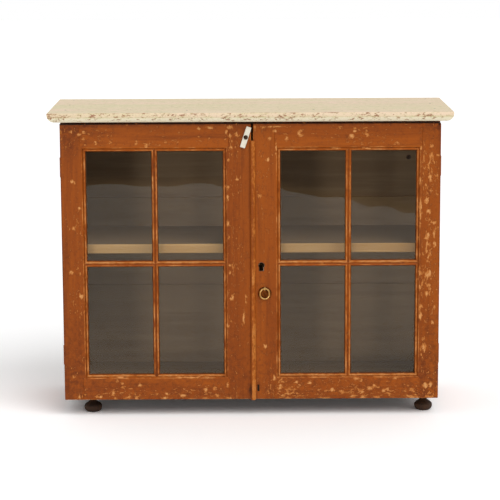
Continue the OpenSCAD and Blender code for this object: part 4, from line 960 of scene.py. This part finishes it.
def turn_button():
    lo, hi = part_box("turn_button")
    mid = (lo + hi) / 2 / MM
    half = np.array([5.4, 1.75, 21.75])
    points, faces = rounded_box(-half, half, 1.0, 2.5)
    for p in points:
        along = abs(p[2]) / half[2]
        p[0] *= 0.985 - 0.05 * along ** 4 + 0.015 * noise.noise(Vector((p[2] / 5, p[0], 2)))
        if p[1] < 0:
            p[1] *= 0.97 - 0.16 * along ** 3
    lean = Matrix.Rotation(math.radians(18), 3, "Y")
    points = np.array([lean @ Vector(p) for p in points]) + np.array(mid)

    def worn(p):
        back = np.array([lean.inverted() @ (Vector(v / MM) - mid) for v in p])
        near = np.sort(half - np.abs(back), axis=1)[:, 1]
        return hump(near, 0.8) * (0.5 + 0.4 * ripple(p, 0.006, 5.0))

    return make_piece("turn_button_painted", (points * MM, faces), [button_paint],
                      {"worn": worn, "flaked": lambda p: 0.08 * ripple(p, 0.008, 4.0),
                       "soot": lambda p: 0.2 + 0.2 * ripple(p, 0.01, 6.0)})


place_piece(turn_button(), "turn_button", "button_paint", "turn_button")


def keyhole_liner():
    lo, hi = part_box("keyhole_liner")
    front, back = lo.y / MM, hi.y / MM
    section = [(0.0, back), (0.0, front + 0.45), (0.15, front + 0.12), (0.5, front), (0.85, front + 0.02),
               (1.1, front + 0.18), (1.2, front + 0.4), (1.2, back)]
    solid = loft([[(x, y * MM, z) for x, z in key_outline(grow)] for grow, y in section], closed=True)
    marks = {"worn": lambda p: 0.7 * hump(p[:, 1] / MM - front, 0.3) + 0.3 * ripple(p, 0.004, 3.0)}
    return make_piece("keyhole_liner_worn", solid, [liner_brass], marks)


place_piece(keyhole_liner(), "right_door", "lock_brass", "keyhole_liner")


def ring_rosette():
    """The round plate behind the ring, a little out of true."""
    lo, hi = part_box("ring_rosette")
    centre, back = (lo + hi) / 2 / MM, hi.y / MM
    r = (hi.x - lo.x) / 2 / MM - 0.1
    profile = [(r - 0.6, back), (r, back), (r, back - 0.7), (r - 0.3, back - 1.3), (r - 1.0, back - 1.7),
               (r - 1.9, back - 1.65), (r - 2.6, back - 1.2), (r - 3.2, back - 0.95), (r - 6, back - 0.95),
               (r - 8.5, back - 1.15), (2.2, back - 1.3), (0.6, back - 1.3)]
    rings = []
    for radius, y in profile:
        uneven = [1 + 0.004 * noise.noise(Vector((a * 2, b * 2, radius * 0.3))) for a, b in circle(1, 64)]
        rings.append([((centre.x + a * k) * MM, y * MM, (centre.z + b * k) * MM)
                      for (a, b), k in zip(circle(radius, 64), uneven)])

    def worn(p):
        away = np.hypot(p[:, 0] / MM - centre.x, p[:, 2] / MM - centre.z)
        low = np.clip(-(p[:, 2] / MM - centre.z) / r, 0, 1)
        return hump(away - r + 1.5, 1.0) * (0.25 + 0.7 * low)

    return make_piece("ring_rosette_worn", loft(rings), [plate_metal], {"worn": worn})


place_piece(ring_rosette(), "right_door", "aged_brass", "ring_rosette")


def ring_eye():
    """A screw eye: a small ring of round section standing on a collar and shank."""
    lo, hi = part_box("ring_eye")
    centre, front, back = (lo + hi) / 2 / MM, lo.y / MM, hi.y / MM
    eye_r, wire, half_wide, around = 2.65, 0.95, 1.55, 28
    eye = loft([[(centre.x + half_wide / wire * v, front + 3.6 + (eye_r + u) * a, centre.z + (eye_r + u) * b)
                 for u, v in circle(wire, 12)] for a, b in circle(1, around)], closed=True)
    shank = loft([[(centre.x + a, y, centre.z + b) for a, b in circle(r, 20)]
                  for r, y in [(1.5, back), (1.5, -126.4), (2.35, -126.4), (2.35, -127.0), (2.0, -127.4),
                               (1.4, -127.7), (1.2, -128.2)]])
    points = np.array(eye[0] + shank[0]) * MM
    faces = eye[1] + [tuple(len(eye[0]) + i for i in face) for face in shank[1]]
    marks = {"worn": lambda p: 0.25 + 0.5 * hump(p[:, 1] / MM - front, 1.2)}
    return make_piece("ring_eye_worn", (points, faces), [brass], marks)


place_piece(ring_eye(), "right_door", "aged_brass", "ring_eye")


# ---------------------------------------------------------------- geometry nodes: ring, feet, nails and screws

def geometry_group(name, inputs):
    return new_group(name, inputs, {"Geometry": "g"}, "GeometryNodeTree")


def end_geometry(tree, geometry, material, out):
    whole = add_node(tree, "GeometryNodeRealizeInstances", {"Geometry": geometry})
    done = add_node(tree, "GeometryNodeSetMaterial", {"Geometry": whole.outputs[0], "Material": material})
    return end_group(tree, out, Geometry=done.outputs[0])


def grow_piece(name, tree, values, points=(), facing=()):
    """Runs a geometry node tree, on points if they are given, and keeps its result as a plain mesh."""
    mesh = bpy.data.meshes.new(name)
    mesh.from_pydata([tuple(p) for p in points], [], [])
    if len(facing):
        way = mesh.attributes.new("facing", "FLOAT_VECTOR", "POINT")
        way.data.foreach_set("vector", np.array(facing, np.float32).ravel())
    piece = bpy.data.objects.new(name, mesh)
    bpy.context.scene.collection.objects.link(piece)
    grow = piece.modifiers.new("grow", "NODES")
    grow.node_group = tree
    for item in tree.interface.items_tree:
        if item.in_out == "INPUT" and item.name in values:
            grow[item.identifier] = values[item.name]
    settle(piece)
    piece.data.shade_smooth()
    piece.data.set_sharp_from_angle(angle=math.radians(35))
    return piece


def vector_of(**parts):
    return add_node(tree_of(*parts.values()), "ShaderNodeCombineXYZ", parts).outputs[0]


def fixing_tree():
    """Heads of nails or screws on points, each turned its own way about the way it faces."""
    tree, given, out = geometry_group(
        "Nail and screw heads", {"Geometry": "g", "Head": "o", "Size": "f", "Unevenness": "f", "Turn": "f",
                                 "Seed": "i", "Material": "m"})
    head = add_node(tree, "GeometryNodeObjectInfo", {"Object": given["Head"]})
    facing = add_node(tree, "GeometryNodeInputNamedAttribute", {"Name": "facing"}, data_type="FLOAT_VECTOR")
    aim = add_node(tree, "FunctionNodeAlignRotationToVector", {"Vector": facing.outputs[0]}, axis="Z")
    size = add_node(tree, "FunctionNodeRandomValue", {
        2: minus(given["Size"], given["Unevenness"]), 3: plus(given["Size"], given["Unevenness"]),
        "Seed": given["Seed"]}, data_type="FLOAT")
    put = add_node(tree, "GeometryNodeInstanceOnPoints", {
        "Points": given["Geometry"], "Instance": head.outputs["Geometry"], "Rotation": aim.outputs[0],
        "Scale": size.outputs[1]})
    turn = add_node(tree, "FunctionNodeRandomValue", {3: given["Turn"], "Seed": given["Seed"]}, data_type="FLOAT")
    turned = add_node(tree, "GeometryNodeRotateInstances", {
        "Instances": put.outputs[0], "Rotation": vector_of(Z=turn.outputs[1]), "Local Space": True})
    return end_geometry(tree, turned.outputs[0], given["Material"], out)


def head_shape(name, profile, slot=None):
    """A turned head about z, of radius 1, with a cut slot if one is given as width and depth."""
    piece = make_piece(name, loft([[(a, b, z) for a, b in circle(r, 28)] for r, z in profile]), [iron],
                       {"worn": lambda p: 0.6 * hump(np.hypot(p[:, 0], p[:, 1]) - 0.7, 0.25)})
    if slot:
        top = max(z for _, z in profile)
        carve(piece, [((-1.2, -slot[0] / 2, top - slot[1]), (1.2, slot[0] / 2, top + 1))], iron)
    return piece


def fixings(node):
    """Place, facing and head radius of each nail or screw of a CAD node."""
    found = []
    for part in loose_parts(node):
        lo, hi = part.min(0), part.max(0)
        axis = int(np.argmax(hi - lo))
        across = [k for k in range(3) if k != axis]
        mid = (lo + hi) / 2

        def reach(at):
            ring = part[np.abs(part[:, axis] - at) < 0.0006]
            return np.max(np.linalg.norm(ring[:, across] - mid[across], axis=1)) if len(ring) else 0.0

        end = 1 if reach(hi[axis]) > reach(lo[axis]) else -1
        facing, place = np.zeros(3), mid.copy()
        facing[axis] = end
        place[axis] = hi[axis] if end > 0 else lo[axis]
        found.append((place, facing, max((hi - lo)[across]) / 2))
    return found


NAIL_HEAD = head_shape("nail_head", [(0.92, -0.5), (1.0, -0.1), (0.96, 0.06), (0.7, 0.17), (0.35, 0.22),
                                     (0.08, 0.24)])
FLAT_HEAD = head_shape("flat_screw_head", [(0.5, -0.6), (0.97, -0.12), (1.0, -0.03), (0.95, 0.02), (0.6, 0.03),
                                           (0.1, 0.035)], (0.2, 0.22))
FIXING_TREE = fixing_tree()
UNEVEN = 0.05
# node, body, head, and how deep the head is driven in, in metres
FIXINGS = (
    ("top_nails", "case", NAIL_HEAD, 0.00071),
    ("back_nails", "case", NAIL_HEAD, 0.0002),
    ("carcass_nails", "case", NAIL_HEAD, 0.0002),
    ("case_hinge_screws", "case", FLAT_HEAD, 0.0001),
    ("left_door_hinge_screws", "left_door", FLAT_HEAD, 0.0001),
    ("right_door_hinge_screws", "right_door", FLAT_HEAD, 0.0001),
    ("left_fitting_screws", "left_door", FLAT_HEAD, 0.0001),
    ("right_fitting_screws", "right_door", FLAT_HEAD, 0.0001),
)
for seed, (name, body, head, sink) in enumerate(FIXINGS, 1):
    found = fixings(name)
    size = float(found[0][2])
    piece = grow_piece(name + "_heads", FIXING_TREE, {
        "Head": head, "Size": size, "Unevenness": size * UNEVEN, "Turn": 6.28, "Seed": seed, "Material": iron},
        [place - facing * sink for place, facing, _ in found], [facing for _, facing, _ in found])
    place_piece(piece, body, "iron", name)
for head in (NAIL_HEAD, FLAT_HEAD):
    bpy.data.objects.remove(head)


def swept_round(tree, path, radius, worn, sides, caps):
    """A round section swept along a path, with the wear stored on it."""
    sized = add_node(tree, "GeometryNodeSetCurveRadius", {"Curve": path, "Radius": radius})
    marked = add_node(tree, "GeometryNodeStoreNamedAttribute", {
        "Geometry": sized.outputs[0], "Name": "worn", "Value": worn}, data_type="FLOAT", domain="POINT")
    section = add_node(tree, "GeometryNodeCurvePrimitiveCircle", {"Resolution": sides, "Radius": 1.0})
    return add_node(tree, "GeometryNodeCurveToMesh", {
        "Curve": marked.outputs[0], "Profile Curve": section.outputs[0],
        "Scale": tree.nodes.new("GeometryNodeInputRadius").outputs[0], "Fill Caps": caps}).outputs[0]


def foot_tree():
    """A turned foot: a line up the middle whose radius follows a drawn curve."""
    tree, given, out = geometry_group("Turned foot", {"Centre": "v", "Height": "f", "Radius": "f", "Material": "m"})
    top = vector_node("ADD", given["Centre"], vector_of(Z=given["Height"]))
    line = add_node(tree, "GeometryNodeCurvePrimitiveLine", {"Start": given["Centre"], "End": top})
    line = add_node(tree, "GeometryNodeResampleCurve", {"Curve": line.outputs[0], "Count": 64})
    at = tree.nodes.new("GeometryNodeSplineParameter")
    shape = add_node(tree, "ShaderNodeFloatCurve", {"Value": at.outputs["Factor"]})
    curve = shape.mapping.curves[0]
    curve.points[0].location, curve.points[1].location = (0.0, 0.72), (1.0, 0.275)
    for x, y in ((0.05, 0.82), (0.12, 0.925), (0.22, 0.985), (0.30, 1.0), (0.38, 0.965), (0.45, 0.86), (0.52, 0.70),
                 (0.60, 0.50), (0.70, 0.34), (0.80, 0.278), (0.90, 0.262)):
        curve.points.new(x, y)
    shape.mapping.update()
    worn = times(ramp(shape.outputs[0], 0.93, 1.0), 0.9)
    radius = times(shape.outputs[0], given["Radius"])
    return end_geometry(tree, swept_round(tree, line.outputs[0], radius, worn, 56, True), given["Material"], out)


FOOT_TREE, FOOT_HEIGHT = foot_tree(), 0.0341
for name in ("front_left_foot", "front_right_foot", "rear_left_foot", "rear_right_foot"):
    lo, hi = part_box(name)
    centre = ((lo.x + hi.x) / 2, (lo.y + hi.y) / 2, 0.0)
    piece = grow_piece(name + "_turned", FOOT_TREE, {
        "Centre": centre, "Height": FOOT_HEIGHT, "Radius": (hi.x - lo.x) / 2, "Material": foot_wood})
    place_piece(piece, "case", "dark_turned_wood", name)


def ring_tree():
    """The hanging ring: a long-sided circle of wire, thinner at the top where it has worn in its eye."""
    tree, given, out = geometry_group("Hanging ring", {"Centre": "v", "Radius": "f", "Straight": "f", "Wire": "f",
                                                       "Wear": "f", "Material": "m"})
    path = add_node(tree, "GeometryNodeCurvePrimitiveCircle", {"Resolution": 96, "Radius": given["Radius"]})
    here = tree.nodes.new("GeometryNodeInputPosition")
    parts = add_node(tree, "ShaderNodeSeparateXYZ", {0: here.outputs[0]}).outputs
    drop = times(math_node("LESS_THAN", parts["Y"], 0.0), given["Straight"])
    upright = vector_of(X=parts["X"], Z=minus(parts["Y"], drop))
    top = ramp(math_node("DIVIDE", parts["Y"], given["Radius"]), 0.8, 1.0)
    thin = minus(1.0, times(top, given["Wear"]))
    shaped = add_node(tree, "GeometryNodeSetPosition", {
        "Geometry": path.outputs[0], "Position": vector_node("ADD", upright, given["Centre"])})
    wire = times(given["Wire"], thin)
    return end_geometry(tree, swept_round(tree, shaped.outputs[0], wire, 0.8, 18, False), given["Material"], out)


lo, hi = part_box("ring_pull")
wire = (hi.y - lo.y) / 2
ring_r = (hi.x - lo.x) / 2 - wire
straight = hi.z - lo.z - 2 * (ring_r + wire)
piece = grow_piece("ring_pull_worn", ring_tree(), {
    "Centre": ((lo.x + hi.x) / 2, (lo.y + hi.y) / 2, hi.z - wire - ring_r), "Radius": ring_r, "Straight": straight,
    "Wire": wire * 0.99, "Wear": 0.12, "Material": brass})
place_piece(piece, "ring_pull", "aged_brass", "ring_pull")


# ---------------------------------------------------------------- materials of the nodes that stay

KEPT = {
    # the rail seen only in the gap under the top board is dark wood, as painted shade
    dark_wood_and_shade: ("front_top_rail",),
    inner_level: ("rear_top_rail",),
    back_wood: ("shelf_battens",),
    glass: ("left_upper_panes", "left_lower_panes", "right_upper_panes", "right_lower_panes"),
    putty: ("left_putty", "right_putty"),
    lock_metal: ("lock_case", "lock_strike"),
    red_iron: ("case_hinge_leaves", "hinge_pins", "left_door_hinge_leaves", "right_door_hinge_leaves"),
    iron: ("inner_bolt_plate", "inner_bolt", "lock_bolt", "turn_button_screw", "back_screw"),
}
for mat, names in KEPT.items():
    for name in names:
        mesh = cad[name].data
        if not mesh.materials:
            mesh.materials.append(mat)
        for k in range(len(mesh.materials)):
            mesh.materials[k] = mat


# ---------------------------------------------------------------- floor, light and camera

def stage_plane(name, corners, mat):
    mesh = bpy.data.meshes.new(name)
    mesh.from_pydata(corners, [], [(0, 1, 2, 3)])
    mesh.materials.append(mat)
    piece = bpy.data.objects.new(name, mesh)
    bpy.context.scene.collection.objects.link(piece)
    return piece


def seen_directly(tree):
    """1 for rays from the camera and in mirrors and glass, 0 for the light that reaches surfaces."""
    path = tree.nodes.new("ShaderNodeLightPath").outputs
    return plus(plus(path["Is Camera Ray"], path["Is Glossy Ray"], True), path["Is Transmission Ray"], True)


HALF_FLOOR, FLOOR_FRONT, FLOOR_BACK, WALL_HEIGHT = 9, -3.5, 14, 7
CLOTH_BACK, CLOTH_HEIGHT = -0.3, 0.002
FLOOR_SHADE, FLOOR_LIFT = 0.9, 0.42
floor_mat, tree, main = new_material("White studio floor")
tree.nodes.remove(main)
surface = add_node(tree, "ShaderNodeBsdfDiffuse", {"Color": scaled(seen_directly(tree), FLOOR_LIFT, FLOOR_SHADE)})
tree.links.new(surface.outputs[0], tree.nodes["Material Output"].inputs["Surface"])

dark_mat, tree, main = new_material("Dark end of the studio")
height = add_node(tree, "ShaderNodeSeparateXYZ", {0: object_place(tree)}).outputs["Z"]
shade = blend(ramp(height, 0.0, 0.04), (0.5, 0.3, 0.13, 1), (0.015, 0.015, 0.015, 1))
tree.links.new(shade, main.inputs["Base Color"])

cloth_mat, tree, main = new_material("Brown cloth in front of the camera")
main.inputs["Base Color"].default_value = (0.50, 0.30, 0.10, 1)
main.inputs["Specular IOR Level"].default_value = 0.0


def flat_on_floor(front, back, z):
    return [(-HALF_FLOOR, front, z), (HALF_FLOOR, front, z), (HALF_FLOOR, back, z), (-HALF_FLOOR, back, z)]


stage_plane("studio_floor", flat_on_floor(FLOOR_FRONT, FLOOR_BACK, 0), floor_mat)
# what the panes mirror: the dark room behind the camera, and a cloth on the floor
dark_wall = [(x, FLOOR_FRONT, z) for x, z in (
    (-HALF_FLOOR, 0), (HALF_FLOOR, 0), (HALF_FLOOR, WALL_HEIGHT), (-HALF_FLOOR, WALL_HEIGHT))]
for name, corners, mat in (("studio_dark_end", dark_wall, dark_mat),
                           ("studio_cloth", flat_on_floor(FLOOR_FRONT, CLOTH_BACK, CLOTH_HEIGHT), cloth_mat)):
    plane = stage_plane(name, corners, mat)
    plane.visible_camera = plane.visible_diffuse = plane.visible_shadow = False
    plane.visible_transmission = name == "studio_dark_end"

AMBIENT = 0.55
world = bpy.data.worlds.new("Studio")
bpy.context.scene.world = world
world.use_nodes = True
tree = world.node_tree
tree.nodes["Background"].inputs["Color"].default_value = (1, 1, 1, 1)
tree.links.new(scaled(seen_directly(tree), 1 - AMBIENT, AMBIENT), tree.nodes["Background"].inputs["Strength"])


def sun(name, azimuth, elevation, strength, softness):
    """A soft sun; azimuth is degrees to the right of the camera's side of the object."""
    lamp = bpy.data.lights.new(name, "SUN")
    lamp.energy, lamp.angle = strength, math.radians(softness)
    piece = bpy.data.objects.new(name, lamp)
    a, e = math.radians(azimuth), math.radians(elevation)
    towards = Vector((math.sin(a) * math.cos(e), -math.cos(a) * math.cos(e), math.sin(e)))
    piece.rotation_euler = towards.to_track_quat("Z", "Y").to_euler()
    bpy.context.scene.collection.objects.link(piece)


sun("key", azimuth=38, elevation=44, strength=1.36, softness=48)
sun("fill", azimuth=-20, elevation=5, strength=0.54, softness=10)

# the camera, as fitted to the photograph's outline
CAMERA_PLACE, LENS_LENGTH, FILM_WIDTH = (-0.0209, -4.012, 1.0216), 141.3, 36.0
pitch, yaw, roll = math.radians(9.91), math.radians(0.28), math.radians(0.24)
ahead = Vector((math.cos(pitch) * math.sin(yaw), math.cos(pitch) * math.cos(yaw), -math.sin(pitch)))
aside = Vector((math.cos(yaw), -math.sin(yaw), 0))
above = aside.cross(ahead)
lens = bpy.data.cameras.new("camera")
lens.lens, lens.sensor_width, lens.clip_end = LENS_LENGTH, FILM_WIDTH, 60.0
camera = bpy.data.objects.new("camera", lens)
tilted = (aside * math.cos(roll) - above * math.sin(roll), aside * math.sin(roll) + above * math.cos(roll), -ahead)
camera.matrix_world = Matrix.Translation(CAMERA_PLACE) @ Matrix(tilted).transposed().to_4x4()
bpy.context.scene.collection.objects.link(camera)
bpy.context.scene.camera = camera
bpy.context.scene.view_settings.view_transform = "Standard"
